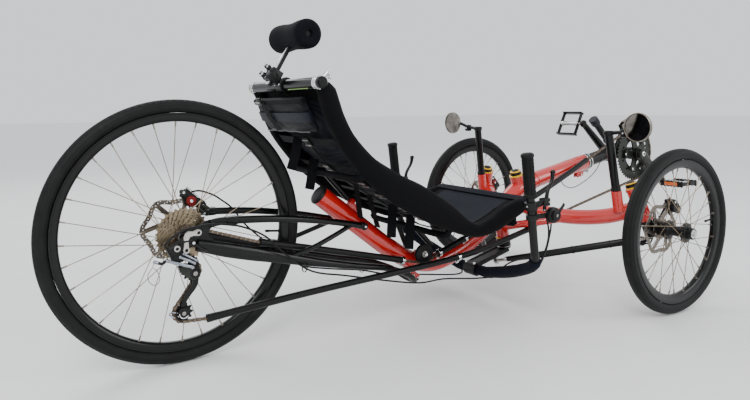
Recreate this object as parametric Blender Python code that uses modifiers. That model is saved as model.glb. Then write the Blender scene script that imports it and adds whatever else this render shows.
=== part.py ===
"""Recumbent tadpole tricycle: two steered front wheels, a driven rear wheel, a mesh seat, under-seat steering.

Metres. The origin is on the ground under the rear axle: +X forward, +Y to the rider's left, +Z up.
"""

import math

import bmesh
import bpy
from mathutils import Matrix, Vector

# Driving dimensions.
GAP = 0.0003
WHEELBASE = 1.34
HALF_TRACK = 0.425
REAR_RADIUS = 0.3175
FRONT_RADIUS = 0.2415
RIM_SEGMENTS = 36
TYRE_DEPTH = 0.031
REAR_RIM_DEPTH = 0.0525
FRONT_RIM_DEPTH = 0.0565
DISC_RADIUS = 0.080
DISC_THICKNESS = 0.002
DISC_BORE = 0.0208
REAR_DISC_Y = 0.055
FRONT_DISC_OFFSET = 0.050

MAIN_TUBE_RADIUS = 0.0275
INNER_BOOM_RADIUS = 0.0225
CROSS_TUBE_RADIUS = 0.0235
STAY_RADIUS = 0.0085
SEAT_RAIL_RADIUS = 0.0125
SEAT_HALF_WIDTH = 0.185
BAR_RADIUS = 0.011
GRIP_RADIUS = 0.0158
STEERER_RADIUS = 0.0142
CHAIN_TUBE_RADIUS = 0.009
CHAIN_HALF = 0.0032

BB = Vector((1.70, 0, 0.430))
BOOM_DIRECTION = Vector((0.983, 0, 0.184)).normalized()
BOOM_ANCHOR = Vector((1.226, 0, 0.360))
SLEEVE_END_X = 1.470
CRANK_LENGTH = 0.172
CRANK_ANGLE = math.radians(140)
LEFT_PEDAL_TILT = math.radians(65)
CHAINRING_PITCH = 0.097
CHAINRING_Y = -0.045
COG_PITCH = 0.0245
COG_Y = -0.063
PULLEY_PITCH = 0.0222
IDLER_PITCH = 0.026
REAR_AXLE = Vector((0, 0, REAR_RADIUS))
IDLER = Vector((0.705, -0.050, 0.182))
GUIDE_PULLEY = Vector((0.008, COG_Y, 0.238))
TENSION_PULLEY = Vector((-0.014, COG_Y, 0.142))

STEER_POINT = Vector((1.071, 0, 0.207))
STEER_AXIS = Vector((-0.190, 0, 0.982)).normalized()
TIE_ROD_AXIS = Vector((-0.126, 0, 0.992)).normalized()
KINGPIN = Vector((1.328, 0.345, 0.2415))
KINGPIN_AXIS = Vector((-0.2126, -0.325, 1)).normalized()
TIE_ROD_INNER = Vector((1.025, 0.022, 0.112))
TIE_ROD_OUTER = Vector((1.283, 0.352, 0.214))
BAR_CENTRE = Vector((0.943, 0, 0.095))
GRIP_TOP = Vector((0.8475, 0.3045, 0.486))
BAR_LEAN = Vector((-0.125, 0, 1)).normalized()
LEVER_PIVOT = Vector((0.910, 0.315, 0.352))
SHIFTER = Vector((0.921, 0.330, 0.317))
MIRROR = Vector((1.200, 0.388, 0.547))
POST_FOOT = Vector((1.2525, 0.2862, 0.352))
POST_TOP = Vector((1.224, 0.277, 0.524))
POST_AXIS = (POST_TOP - POST_FOOT).normalized()

SEAT_CROSSBAR = Vector((0.286, 0, 0.670))
HEAD_HINGE = Vector((0.2555, 0, 0.6935))
ROLLER = Vector((0.317, 0, 0.796))

SIDES = (("left", 1), ("right", -1))
X, Y, Z = Vector((1, 0, 0)), Vector((0, 1, 0)), Vector((0, 0, 1))


def on_side(point, side):
    return Vector((point[0], point[1] * side, point[2]))


# Scene and materials ---------------------------------------------------------

for old in list(bpy.data.objects):
    bpy.data.objects.remove(old, do_unlink=True)

PARTS = bpy.data.collections.new("recumbent_trike")
CUTTERS = bpy.data.collections.new("cutters")
bpy.context.scene.collection.children.link(PARTS)
bpy.context.scene.collection.children.link(CUTTERS)
CUTTERS.hide_render = True

FINISHES = {
    "red_paint": ((0.70, 0.035, 0.02), 0.25, 0.0),
    "black_paint": ((0.012, 0.012, 0.014), 0.35, 0.0),
    "rubber": ((0.02, 0.02, 0.021), 0.85, 0.0),
    "alloy": ((0.62, 0.62, 0.64), 0.3, 1.0),
    "steel": ((0.45, 0.44, 0.42), 0.35, 1.0),
    "fabric": ((0.015, 0.016, 0.02), 0.95, 0.0),
    "plastic": ((0.02, 0.02, 0.022), 0.5, 0.0),
    "mirror": ((0.9, 0.9, 0.92), 0.03, 1.0),
}


def make_materials():
    made = {}
    for name, (colour, roughness, metallic) in FINISHES.items():
        material = bpy.data.materials.new(name)
        material.use_nodes = True
        shader = material.node_tree.nodes["Principled BSDF"]
        shader.inputs["Base Color"].default_value = (*colour, 1)
        shader.inputs["Roughness"].default_value = roughness
        shader.inputs["Metallic"].default_value = metallic
        made[name] = material
    return made


MATERIALS = make_materials()


# Shapes ----------------------------------------------------------------------


def frame_at(origin, axis, spin=0.0):
    """A matrix at origin whose local Z lies along axis, turned about it by spin."""
    turn = Vector((0, 0, 1)).rotation_difference(Vector(axis)).to_matrix().to_4x4()
    return Matrix.Translation(Vector(origin)) @ turn @ Matrix.Rotation(spin, 4, "Z")


def mesh_object(bm, matrix=None):
    mesh = bpy.data.meshes.new("shape")
    bmesh.ops.recalc_face_normals(bm, faces=bm.faces)
    bm.to_mesh(mesh)
    bm.free()
    obj = bpy.data.objects.new("shape", mesh)
    obj.matrix_world = matrix or Matrix()
    bpy.context.scene.collection.objects.link(obj)
    return obj


def block(centre, size, direction=X, up=Z):
    """A box with its length along direction."""
    along = Vector(direction).normalized()
    side = Vector(up).cross(along).normalized()
    top = along.cross(side)
    turn = Matrix((along, side, top)).transposed().to_4x4()
    bm = bmesh.new()
    bmesh.ops.create_cube(bm, size=1)
    bmesh.ops.scale(bm, vec=size, verts=bm.verts)
    return mesh_object(bm, Matrix.Translation(Vector(centre)) @ turn)


def add_rod(bm, start, end, radius, sides, end_radius=None):
    line = Vector(end) - Vector(start)
    bmesh.ops.create_cone(
        bm,
        cap_ends=True,
        segments=sides,
        radius1=radius,
        radius2=radius if end_radius is None else end_radius,
        depth=line.length,
        matrix=frame_at((Vector(start) + Vector(end)) / 2, line.normalized()),
    )


def rod(start, end, radius, sides=16, end_radius=None):
    bm = bmesh.new()
    add_rod(bm, start, end, radius, sides, end_radius)
    return mesh_object(bm)


def turned(profile, origin, axis, steps=24, spin=0.0, closed=True):
    """A turned solid: (radius, height) pairs that run down the outer side, height along axis."""
    bm = bmesh.new()
    verts = [bm.verts.new((radius, 0, height)) for radius, height in profile]
    for first, second in zip(verts, verts[1:]):
        bm.edges.new((first, second))
    if closed:
        bm.edges.new((verts[-1], verts[0]))
    mesh = bpy.data.meshes.new("shape")
    bm.to_mesh(mesh)
    bm.free()
    obj = bpy.data.objects.new("shape", mesh)
    obj.matrix_world = frame_at(origin, axis, spin)
    bpy.context.scene.collection.objects.link(obj)
    screw = obj.modifiers.new("turn", "SCREW")
    screw.steps = steps
    screw.render_steps = steps
    screw.use_merge_vertices = True
    screw.merge_threshold = 0.00001
    return obj


def smooth(points, steps=4, closed=False):
    """Points along a Catmull-Rom curve through the given ones."""
    pts = [Vector(p) for p in points]
    if closed:
        pts = [pts[-1]] + pts + pts[:2]
    else:
        pts = [2 * pts[0] - pts[1]] + pts + [2 * pts[-1] - pts[-2]]
    path = []
    for a, b, c, d in zip(pts, pts[1:], pts[2:], pts[3:]):
        for step in range(steps):
            t = step / steps
            square = 2 * a - 5 * b + 4 * c - d
            cube = 3 * b - 3 * c + d - a
            path.append(0.5 * (2 * b + (c - a) * t + square * t**2 + cube * t**3))
    return path if closed else path + [pts[-2]]


def wire(points, radius, resolution=2, closed=False, caps=True):
    """A round tube along the points, as a curve with a bevel."""
    curve = bpy.data.curves.new("shape", "CURVE")
    curve.dimensions = "3D"
    curve.bevel_depth = radius
    curve.bevel_resolution = resolution
    curve.use_fill_caps = caps and not closed
    spline = curve.splines.new("POLY")
    spline.points.add(len(points) - 1)
    for target, point in zip(spline.points, points):
        target.co = (*point, 1)
    spline.use_cyclic_u = closed
    obj = bpy.data.objects.new("shape", curve)
    bpy.context.scene.collection.objects.link(obj)
    return obj


def as_mesh(obj):
    """The curve object as a mesh object with its caps welded."""
    evaluated = obj.evaluated_get(bpy.context.evaluated_depsgraph_get())
    mesh = bpy.data.meshes.new_from_object(evaluated)
    bm = bmesh.new()
    bm.from_mesh(mesh)
    bmesh.ops.remove_doubles(bm, verts=bm.verts, dist=0.00001)
    bm.to_mesh(mesh)
    bm.free()
    made = bpy.data.objects.new("shape", mesh)
    made.matrix_world = obj.matrix_world
    bpy.context.scene.collection.objects.link(made)
    bpy.data.objects.remove(obj, do_unlink=True)
    return made


def tube(points, radius, resolution=4):
    return as_mesh(wire(points, radius, resolution))


def plate(outline, thickness, origin, normal, holes=(), spin=0.0):
    """A flat plate from a 2D outline and its holes, centred on origin across its thickness."""
    curve = bpy.data.curves.new("shape", "CURVE")
    curve.dimensions = "2D"
    curve.fill_mode = "BOTH"
    curve.extrude = thickness / 2
    for loop in (outline, *holes):
        spline = curve.splines.new("POLY")
        spline.points.add(len(loop) - 1)
        for target, (u, v) in zip(spline.points, loop):
            target.co = (u, v, 0, 1)
        spline.use_cyclic_u = True
    obj = bpy.data.objects.new("shape", curve)
    obj.matrix_world = frame_at(origin, normal, spin)
    bpy.context.scene.collection.objects.link(obj)
    return obj


def circle(radius, count, start=0.0, centre=(0, 0)):
    angles = [start + 2 * math.pi * i / count for i in range(count)]
    return [(centre[0] + radius * math.cos(a), centre[1] + radius * math.sin(a)) for a in angles]


def ring(origin, axis, inner, outer, width, steps=20):
    """A round collar with a bore."""
    half = width / 2
    profile = [(outer, half), (outer, -half), (inner, -half), (inner, half)]
    return turned(profile, origin, axis, steps)


def combine(base, others, operation):
    for other in others:
        bpy.context.scene.collection.objects.unlink(other)
        CUTTERS.objects.link(other)
        other.hide_render = True
        other.display_type = "WIRE"
        modifier = base.modifiers.new(operation.lower(), "BOOLEAN")
        modifier.operation = operation
        modifier.solver = "EXACT"
        modifier.object = other
    return base


def join(base, *others):
    return combine(base, others, "UNION")


def cut(base, *others):
    return combine(base, others, "DIFFERENCE")


def part(obj, name, finish, pivot=None):
    """Names a finished sub-part, gives it its material and hangs it on its pivot."""
    obj.name = name
    obj.data.name = name
    obj.data.materials.clear()
    obj.data.materials.append(MATERIALS[finish])
    if obj.type == "MESH":
        obj.data.shade_smooth()
        obj.data.set_sharp_from_angle(angle=math.radians(35))
    for other in list(obj.users_collection):
        other.objects.unlink(obj)
    PARTS.objects.link(obj)
    if pivot is not None:
        obj.parent = pivot
        obj.matrix_parent_inverse = pivot.matrix_world.inverted()
    return obj


def pivot_at(name, origin, axis, parent=None):
    """An empty on a joint's axis, with its local Z along the axis."""
    empty = bpy.data.objects.new(name, None)
    empty.empty_display_size = 0.04
    empty.matrix_world = frame_at(origin, axis)
    PARTS.objects.link(empty)
    if parent is not None:
        empty.parent = parent
        empty.matrix_parent_inverse = parent.matrix_world.inverted()
    bpy.context.view_layer.update()
    return empty


def boom_point(x):
    along = (x - BOOM_ANCHOR.x) / BOOM_DIRECTION.x
    return BOOM_ANCHOR + BOOM_DIRECTION * along


# Wheels ----------------------------------------------------------------------


def tyre(centre, radius, axis):
    """A slick tyre with a narrow flat tread, one facet of it level with the ground."""
    flat = 1 / math.cos(math.pi / RIM_SEGMENTS)
    section = [(0, 0.006), (0, -0.006), (0.012, -0.0185), (TYRE_DEPTH, -0.0125)]
    section += [(TYRE_DEPTH, 0.0125), (0.012, 0.0185)]
    profile = [((radius - depth) * flat, height) for depth, height in section]
    return turned(profile, centre, axis, RIM_SEGMENTS, math.pi / RIM_SEGMENTS)


def rim(centre, radius, depth, axis):
    flat = 1 / math.cos(math.pi / RIM_SEGMENTS)
    outer = radius - TYRE_DEPTH - GAP
    inner = radius - depth
    section = [(outer, 0.0125), (outer, -0.0125), (inner + 0.009, -0.0115), (inner, -0.005)]
    section += [(inner, 0.005), (inner + 0.009, 0.0115)]
    profile = [(r * flat, height) for r, height in section]
    return turned(profile, centre, axis, RIM_SEGMENTS, math.pi / RIM_SEGMENTS)


def spokes(centre, axis, flanges, flange_radius, rim_inner, per_side=12):
    """Straight spokes, each side's leaning its own way round so that none cross."""
    bm = bmesh.new()
    for index, height in enumerate(flanges):
        lean = math.radians(24) * (1 if index else -1)
        for i in range(per_side):
            angle = 2 * math.pi * (i + 0.5 * index) / per_side
            foot = Vector((flange_radius * math.cos(angle), flange_radius * math.sin(angle), height))
            reach = rim_inner + 0.004
            at_rim = angle + lean
            head = Vector((reach * math.cos(at_rim), reach * math.sin(at_rim), 0.003 if index else -0.003))
            add_rod(bm, foot, head, 0.0013, 3)
    return mesh_object(bm, frame_at(centre, axis))


FRONT_HUB = [
    (0, 0.051), (0.011, 0.051), (0.0125, 0.048),
    (0.0125, 0.034), (0.016, 0.032), (0.029, 0.029), (0.029, 0.025),
    (0.016, 0.021), (0.015, -0.018), (0.029, -0.023), (0.029, -0.027), (0.020, -0.033), (0.020, -0.0535),
    (0.009, -0.0535), (0.009, 0.046), (0, 0.046),
]
REAR_HUB = [
    (0.016, 0.066), (0.016, 0.061), (0.020, 0.058),
    (0.020, 0.042), (0.030, 0.035), (0.030, 0.031), (0.019, 0.026),
    (0.019, -0.020), (0.030, -0.025), (0.030, -0.029), (0.0168, -0.031), (0.0168, -0.0670), (0.0065, -0.0670),
    (0.0065, 0.066),
]


def disc_rotor(centre, axis, bore, spin=0.0):
    """A brake rotor: outer band, six swept spokes and a centre carrier."""
    windows = []
    for i in range(6):
        middle = 2 * math.pi * i / 6
        outer = [(0.064, middle + a) for a in (-0.36, -0.12, 0.12, 0.36)]
        inner = [(0.033, middle + a + 0.35) for a in (0.20, 0.0, -0.20)]
        windows.append([(r * math.cos(a), r * math.sin(a)) for r, a in outer + inner])
    holes = [circle(bore, 16)] + windows
    return as_mesh(plate(circle(DISC_RADIUS, 30), DISC_THICKNESS, centre, axis, holes, spin))


def caliper(disc_centre, radial, axis, lateral):
    """A caliper body that straddles the rotor's edge in a slot."""
    out = Vector(radial).normalized()
    tangent = Y.cross(out)
    centre = Vector(disc_centre) + out * 0.083
    body = block(centre, (0.030, lateral, 0.052), out, tangent)
    slot = block(Vector(disc_centre) + out * 0.070, (0.033, 0.0048, 0.060), out, tangent)
    seat = centre - tangent * 0.0145
    knob = rod(seat + axis * (lateral / 2 - 0.001), seat + axis * (lateral / 2 + 0.006), 0.011, 12)
    return cut(join(body, knob), slot)


# Frame -----------------------------------------------------------------------

MAIN_TUBE_PATH = [
    (0.385, 0, 0.376), (0.592, 0, 0.217), (0.690, 0, 0.157),
    (0.780, 0, 0.137), (0.865, 0, 0.157), (0.950, 0, 0.196),
    (1.030, 0, 0.250), (1.090, 0, 0.299), (1.150, 0, 0.338), (1.226, 0, 0.360),
]
CROSS_PATH = [
    (1.134, 0, 0.290), (1.165, 0.065, 0.266),
    (1.220, 0.160, 0.256), (1.270, 0.250, 0.268), (1.3135, 0.3225, 0.300),
]


def kingpin_point(side, along):
    return on_side(KINGPIN + KINGPIN_AXIS * along, side)


def main_frame():
    tube_start = Vector(MAIN_TUBE_PATH[0])
    path = [tube_start, tube_start.lerp(Vector(MAIN_TUBE_PATH[1]), 0.5)] + smooth(MAIN_TUBE_PATH[1:], 2)
    path += [boom_point(1.34), boom_point(SLEEVE_END_X)]
    frame = tube(path, MAIN_TUBE_RADIUS, 3)
    pieces = [
        rod((1.148, 0, 0.335), (1.1335, 0, 0.379), 0.021, 14),
        rod(STEER_POINT - STEER_AXIS * 0.026, STEER_POINT + STEER_AXIS * 0.050, 0.0205, 16),
        block((0.492, 0, 0.338), (0.050, 0.024, 0.036), (0.793, 0, -0.609)),
        block((1.440, 0, boom_point(1.440).z - 0.033), (0.034, 0.018, 0.024), BOOM_DIRECTION),
        rod((IDLER.x, -0.010, IDLER.z - 0.006), (IDLER.x, -0.0405, IDLER.z), 0.011, 12, 0.009),
        rod((IDLER.x, -0.030, IDLER.z), (IDLER.x, -0.0600, IDLER.z), 0.0050, 12),
    ]
    cross = CROSS_PATH[:0:-1] + [on_side(p, -1) for p in CROSS_PATH]
    pieces.append(tube(smooth(cross, 2), CROSS_TUBE_RADIUS, 3))
    for _, side in SIDES:
        pieces.append(rod(kingpin_point(side, 0.024), kingpin_point(side, 0.122), 0.0215, 14))
        stub = [on_side(POST_FOOT - POST_AXIS * reach, side) for reach in (0.064, GAP)]
        pieces.append(rod(*stub, 0.0155, 14))
        corners = [(1.068, 0.006, 0.214), (1.105, 0.030, 0.222), (1.150, 0.085, 0.236), (1.195, 0.135, 0.250)]
        brace = smooth(corners, 1)
        pieces.append(tube([on_side(p, side) for p in brace], 0.0125, 1))
    frame = join(frame, *pieces)
    foot = STEER_POINT - STEER_AXIS * 0.040
    bores = [rod(foot, STEER_POINT + STEER_AXIS * 0.034, STEERER_RADIUS + GAP, 16)]
    bores.append(rod(boom_point(1.340), boom_point(SLEEVE_END_X + 0.02), INNER_BOOM_RADIUS + GAP, 20))
    for _, side in SIDES:
        bores.append(rod(kingpin_point(side, 0.010), kingpin_point(side, 0.140), STEERER_RADIUS + GAP, 16))
    return part(cut(frame, *bores), "main_frame", "red_paint")


def tube_end_cap():
    start, after = Vector(MAIN_TUBE_PATH[0]), Vector(MAIN_TUBE_PATH[1])
    outward = (start - after).normalized()
    profile = [(0, 0.008), (0.018, 0.0075), (0.0275, 0.005), (0.0285, 0.001), (0.0285, GAP), (0, GAP)]
    return part(turned(profile, start, outward, 24, closed=False), "tube_end_cap", "plastic")


def centre_head_cap():
    base = Vector((1.1335, 0, 0.379))
    axis = (base - Vector((1.148, 0, 0.335))).normalized()
    profile = [(0, 0.021), (0.013, 0.021), (0.0165, 0.018), (0.0165, 0.0135), (0.0145, 0.013)]
    profile += [(0.0145, 0.0065)]
    profile += [(0.0225, 0.006), (0.0225, GAP), (0, GAP)]
    return part(turned(profile, base, axis, 20, closed=False), "centre_head_cap", "alloy")


UPPER_STAY = [
    (0.020, 0.0765, 0.336), (0.094, 0.0765, 0.348),
    (0.220, 0.073, 0.339), (0.340, 0.062, 0.321), (0.448, 0.046, 0.298),
    (0.503, 0.0395, 0.284),
]
CHAINSTAY = [
    (0.020, 0.0765, 0.298), (0.100, 0.0755, 0.275),
    (0.220, 0.070, 0.243), (0.347, 0.062, 0.209), (0.480, 0.053, 0.178),
    (0.576, 0.046, 0.157), (0.650, 0.038, 0.128), (0.690, 0.022, 0.100), (0.700, 0, 0.095),
]


def rear_triangle():
    mirrored = [on_side(p, -1) for p in reversed(CHAINSTAY[:-1])]
    stays = tube(CHAINSTAY + mirrored, STAY_RADIUS, 2)
    pieces = []
    dropout = [(-0.020, 0.026), (0.030, 0.034), (0.062, 0.024), (0.050, -0.016), (0.046, -0.040)]
    dropout += [(0.014, -0.022)]
    dropout += [(-0.016, -0.020)]
    for _, side in SIDES:
        pieces.append(tube([on_side(p, side) for p in UPPER_STAY], STAY_RADIUS, 2))
        brace = [(0.262, 0.0675, 0.236), (0.330, 0.066, 0.252), (0.455, 0.047, 0.2925)]
        pieces.append(tube([on_side(p, side) for p in brace], 0.0065, 1))
        outline = [(x, -z) for x, z in dropout]
        hole = [circle(0.0065, 12)]
        pieces.append(as_mesh(plate(outline, 0.006, REAR_AXLE + Y * 0.0717 * side, Y, hole)))
        boss = [on_side((0.501, y, 0.285), side) for y in (0.0310, 0.0510)]
        pieces.append(rod(*boss, 0.0105, 12))
    return part(join(stays, *pieces), "rear_triangle", "black_paint")


def rear_axle():
    half = 0.0752
    profile = [(0, half + 0.016), (0.0055, half + 0.015), (0.010, half + 0.009), (0.010, half)]
    profile += [(0.0060, half)]
    profile += [(0.0060, -half), (0.009, -half), (0.009, -half - 0.008), (0, -half - 0.008)]
    return part(turned(profile, REAR_AXLE, Y, 12, closed=False), "rear_axle", "alloy")


def boom():
    inner = rod(boom_point(1.345), boom_point(1.69), INNER_BOOM_RADIUS, 20)
    shell = rod(BB - Y * 0.034, BB + Y * 0.034, 0.0225, 20)
    neck = rod(boom_point(1.675), BB + Z * 0.004, 0.0200, 16)
    bore = rod(BB - Y * 0.040, BB + Y * 0.040, 0.0123, 16)
    return part(cut(join(inner, neck, shell), bore), "boom", "black_paint")


def boom_collar():
    width = 0.018
    centre = boom_point(SLEEVE_END_X + 0.001 + width / 2)
    body = ring(centre, BOOM_DIRECTION, INNER_BOOM_RADIUS + GAP, 0.0295, width, 24)
    lug = block(centre - BOOM_DIRECTION.cross(Y) * -0.033, (0.012, 0.016, 0.012), BOOM_DIRECTION)
    return part(join(body, lug), "boom_collar", "alloy")


def boom_clamp(x, radius, width):
    """A solid collar round the boom at x, and the boom's bore to cut from it."""
    half = BOOM_DIRECTION * (width / 2)
    body = rod(boom_point(x) - half, boom_point(x) + half, radius, 20)
    bore = rod(boom_point(x - 0.05), boom_point(x + 0.05), INNER_BOOM_RADIUS + GAP, 20)
    return body, bore


def accessory_post():
    foot = boom_point(1.648)
    rise = Vector((-0.726, 0, 0.688))
    body, bore = boom_clamp(1.648, 0.0285, 0.022)
    post = rod(foot, foot + rise * 0.150, 0.0115, 12)
    bung = rod(foot + rise * 0.149, foot + rise * 0.176, 0.0165, 14)
    return part(cut(join(body, post, bung), bore), "accessory_post", "black_paint")


def front_derailleur():
    foot = boom_point(1.604)
    body, bore = boom_clamp(1.604, 0.0275, 0.016)
    arm = rod(foot + Vector((0.002, -0.020, 0.012)), Vector((1.640, -0.044, 0.548)), 0.007, 8)
    cage = block((1.650, CHAINRING_Y, 0.543), (0.060, 0.017, 0.034), (0.94, 0, 0.34))
    slot = block((1.650, CHAINRING_Y, 0.528), (0.080, 0.0110, 0.044), (0.94, 0, 0.34))
    return part(cut(join(body, arm, cage), slot, bore), "front_derailleur", "alloy")


# Seat ------------------------------------------------------------------------

SEAT_LINE = [
    (0.288, 0.670), (0.308, 0.632), (0.334, 0.578),
    (0.376, 0.520), (0.430, 0.466), (0.500, 0.414), (0.570, 0.372),
    (0.640, 0.331), (0.700, 0.297), (0.750, 0.272),
    (0.800, 0.264), (0.860, 0.280), (0.920, 0.306), (0.975, 0.326),
]


def seat_points(steps=2):
    return smooth([(x, 0, z) for x, z in SEAT_LINE], steps)


def seat_offsets(points, depth):
    """The seat line moved by depth towards the underside."""
    moved = []
    for i, point in enumerate(points):
        before, after = points[max(i - 1, 0)], points[min(i + 1, len(points) - 1)]
        along = (after - before).normalized()
        moved.append(point + Vector((along.z, 0, -along.x)) * depth)
    return moved


def seat_frame():
    line = seat_points()
    under = seat_offsets(line, 0.042)
    frame = rod(SEAT_CROSSBAR - Y * 0.205, SEAT_CROSSBAR + Y * 0.205, 0.0145, 16)
    pieces = []
    for _, side in SIDES:
        pieces.append(tube([p + Y * SEAT_HALF_WIDTH * side for p in line[::2]], SEAT_RAIL_RADIUS, 2))
    for station in (8, 16, 24):
        bow = [line[station] + Y * SEAT_HALF_WIDTH, under[station] + Y * 0.166, under[station] - Y * 0.166]
        bow.append(line[station] - Y * SEAT_HALF_WIDTH)
        pieces.append(tube(bow, 0.0095, 1))
    front = [line[-1] + Y * SEAT_HALF_WIDTH, line[-1] - Y * SEAT_HALF_WIDTH]
    pieces.append(tube(front, 0.0125, 2))
    pieces.append(rod(under[8] + Vector((0, 0, 0.004)), Vector((0.4752, 0, 0.3610)), 0.0090, 10))
    pieces.append(rod(under[16] + Y * 0.045, Vector((0.705, 0.0365, 0.190)), 0.0080, 10))
    pieces.append(rod(under[16] - Y * 0.045, Vector((0.745, -0.0345, 0.200)), 0.0080, 10))
    return part(join(frame, *pieces), "seat_frame", "black_paint")


def extruded_strip(points, front_depth, back_depth, half_width, centre_y=0.0):
    """A strip that follows the points, between two depths under them."""
    top = seat_offsets(points, front_depth)
    bottom = seat_offsets(points, back_depth)
    outline = [(p.x, -p.z) for p in top + bottom[::-1]]
    return as_mesh(plate(outline, 2 * half_width, (0, centre_y, 0), Y))


def seat_cover():
    line = seat_points()[2:-2]
    half = SEAT_HALF_WIDTH - SEAT_RAIL_RADIUS - 0.001
    return part(extruded_strip(line, -0.007, 0.007, half), "seat_cover", "fabric")


def seat_pocket():
    line = seat_points()[1:5]
    return part(extruded_strip(line, 0.026, 0.078, 0.150), "seat_pocket", "fabric")


def seat_webbing():
    line = seat_points()[6:22]
    spine = extruded_strip(line, 0.012, 0.015, 0.0125)
    mid = seat_offsets(line, 0.0135)
    pieces = []
    for station in (1, 4, 7, 12, 15):
        along = (mid[min(station + 1, len(mid) - 1)] - mid[station - 1]).normalized()
        pieces.append(block(mid[station], (0.025, 0.330, 0.003), along))
    for station, y in ((1, -0.05), (4, -0.05), (12, -0.125), (15, -0.125)):
        pieces.append(block(mid[station] + Vector((0, y, -0.045)), (0.0045, 0.024, 0.090)))
    return part(join(spine, *pieces), "seat_webbing", "fabric")


# Steering --------------------------------------------------------------------


def stem(pivot):
    low = STEER_POINT - STEER_AXIS * 0.026
    shaft = rod(low - STEER_AXIS * 0.034, STEER_POINT + STEER_AXIS * 0.030, STEERER_RADIUS, 16)
    cup = rod(low - STEER_AXIS * 0.0380, low - STEER_AXIS * 0.0015, 0.0215, 16)
    run = (BAR_CENTRE + Z * 0.012) - (low - STEER_AXIS * 0.040)
    middle = (low - STEER_AXIS * 0.040) + run * 0.52
    slab = block(middle, (run.length * 1.00, 0.056, 0.011), run)
    clamp = rod(BAR_CENTRE - Y * 0.025, BAR_CENTRE + Y * 0.025, 0.0220, 16)
    pieces = [cup, slab, clamp]
    for _, side in SIDES:
        centre = on_side(TIE_ROD_INNER, side)
        pieces.append(rod(centre - TIE_ROD_AXIS * 0.008, centre + TIE_ROD_AXIS * 0.012, 0.0040, 10))
        pieces.append(rod(centre - TIE_ROD_AXIS * 0.011, centre - TIE_ROD_AXIS * 0.0062, 0.0075, 6))
    bore = rod(BAR_CENTRE - Y * 0.030, BAR_CENTRE + Y * 0.030, 0.0113, 16)
    return part(cut(join(shaft, *pieces), bore), "steering_stem", "black_paint", pivot)


def bar_point(side, z):
    """The point of the handlebar's upright at height z."""
    along = (GRIP_TOP.z - z) / BAR_LEAN.z
    return on_side(GRIP_TOP - BAR_LEAN * along, side)


BAR_SIDE = [(0.943, 0.060, 0.095), (0.931, 0.160, 0.122), (0.915, 0.245, 0.152), (0.896, 0.292, 0.180)]


def handlebar(pivot):
    foot = bar_point(1, 0.212)
    top = GRIP_TOP - BAR_LEAN * 0.010
    bend = smooth([*BAR_SIDE, foot], 3)
    left = [BAR_CENTRE, *bend, top]
    right = [on_side(p, -1) for p in left]
    bar = tube(right[::-1] + left[1:], BAR_RADIUS, 2)
    sleeves = []
    for _, side in SIDES:
        sleeves.append(tube([on_side(p, side) for p in bend[2:10]], 0.0165, 2))
    return part(join(bar, *sleeves), "handlebar", "black_paint", pivot)


def grip(label, side, pivot):
    bore = BAR_RADIUS + GAP
    profile = [(0, 0), (0.014, 0), (GRIP_RADIUS + 0.001, -0.004)]
    profile += [(GRIP_RADIUS, -0.012), (GRIP_RADIUS, -0.110)]
    flare = GRIP_RADIUS + 0.002
    profile += [(flare, -0.114), (flare, -0.120), (bore, -0.120), (bore, -0.008), (0, -0.008)]
    obj = turned(profile, on_side(GRIP_TOP, side), BAR_LEAN, 16, closed=False)
    return part(obj, "grip_" + label, "rubber", pivot)


def lever_mount(label, side, pivot):
    centre = bar_point(side, 0.343)
    low = bar_point(side, 0.312)
    clamp = rod(centre - BAR_LEAN * 0.011, centre + BAR_LEAN * 0.011, 0.0170, 14)
    lower_clamp = rod(low - BAR_LEAN * 0.007, low + BAR_LEAN * 0.007, 0.0160, 14)
    bore = rod(bar_point(side, 0.280), bar_point(side, 0.380), BAR_RADIUS + 2 * GAP, 14)
    lever_pivot = on_side(LEVER_PIVOT, side)
    arm = rod(centre + Vector((0.013, 0, 0)), lever_pivot - X * 0.010, 0.0080, 8)
    lug = block(lever_pivot - X * 0.009, (0.016, 0.020, 0.022))
    pod_centre = on_side(SHIFTER, side)
    pod = rod(pod_centre - Y * 0.009 * side, pod_centre + Y * 0.009 * side, 0.0220, 16)
    neck = rod(low + Vector((0.013, 0, 0)), pod_centre - Y * 0.004 * side, 0.0070, 8)
    link = rod(centre + Vector((0.014, 0, -0.006)), low + Vector((0.014, 0, 0.005)), 0.0050, 8)
    clearance = block(lever_pivot + X * 0.006, (0.0165, 0.0110, 0.030))
    body = join(clamp, lower_clamp, arm, lug, pod, neck, link)
    return part(cut(body, clearance, bore), "lever_mount_" + label, "plastic", pivot)


def brake_lever(label, side, pivot):
    foot = on_side(LEVER_PIVOT, side) + X * 0.004
    tip = on_side((0.938, 0.312, 0.430), side)
    boss = rod(foot - Y * 0.0045, foot + Y * 0.0045, 0.0060, 12)
    blade = block((foot + tip) / 2, ((tip - foot).length, 0.0085, 0.0075), tip - foot, Y)
    end = rod(tip - Y * 0.0045, tip + Y * 0.0045, 0.0055, 12)
    return part(join(boss, blade, end), "brake_lever_" + label, "plastic", pivot)


def shift_lever(pivot):
    centre = on_side(SHIFTER, -1) - Y * 0.0125
    hub = rod(centre - Y * 0.0030, centre + Y * 0.0030, 0.0150, 16)
    paddle = block(centre + Vector((0.018, -0.001, 0.018)), (0.034, 0.0045, 0.011), (1, 0, 1))
    return part(join(hub, paddle), "shift_lever", "plastic", pivot)


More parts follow.
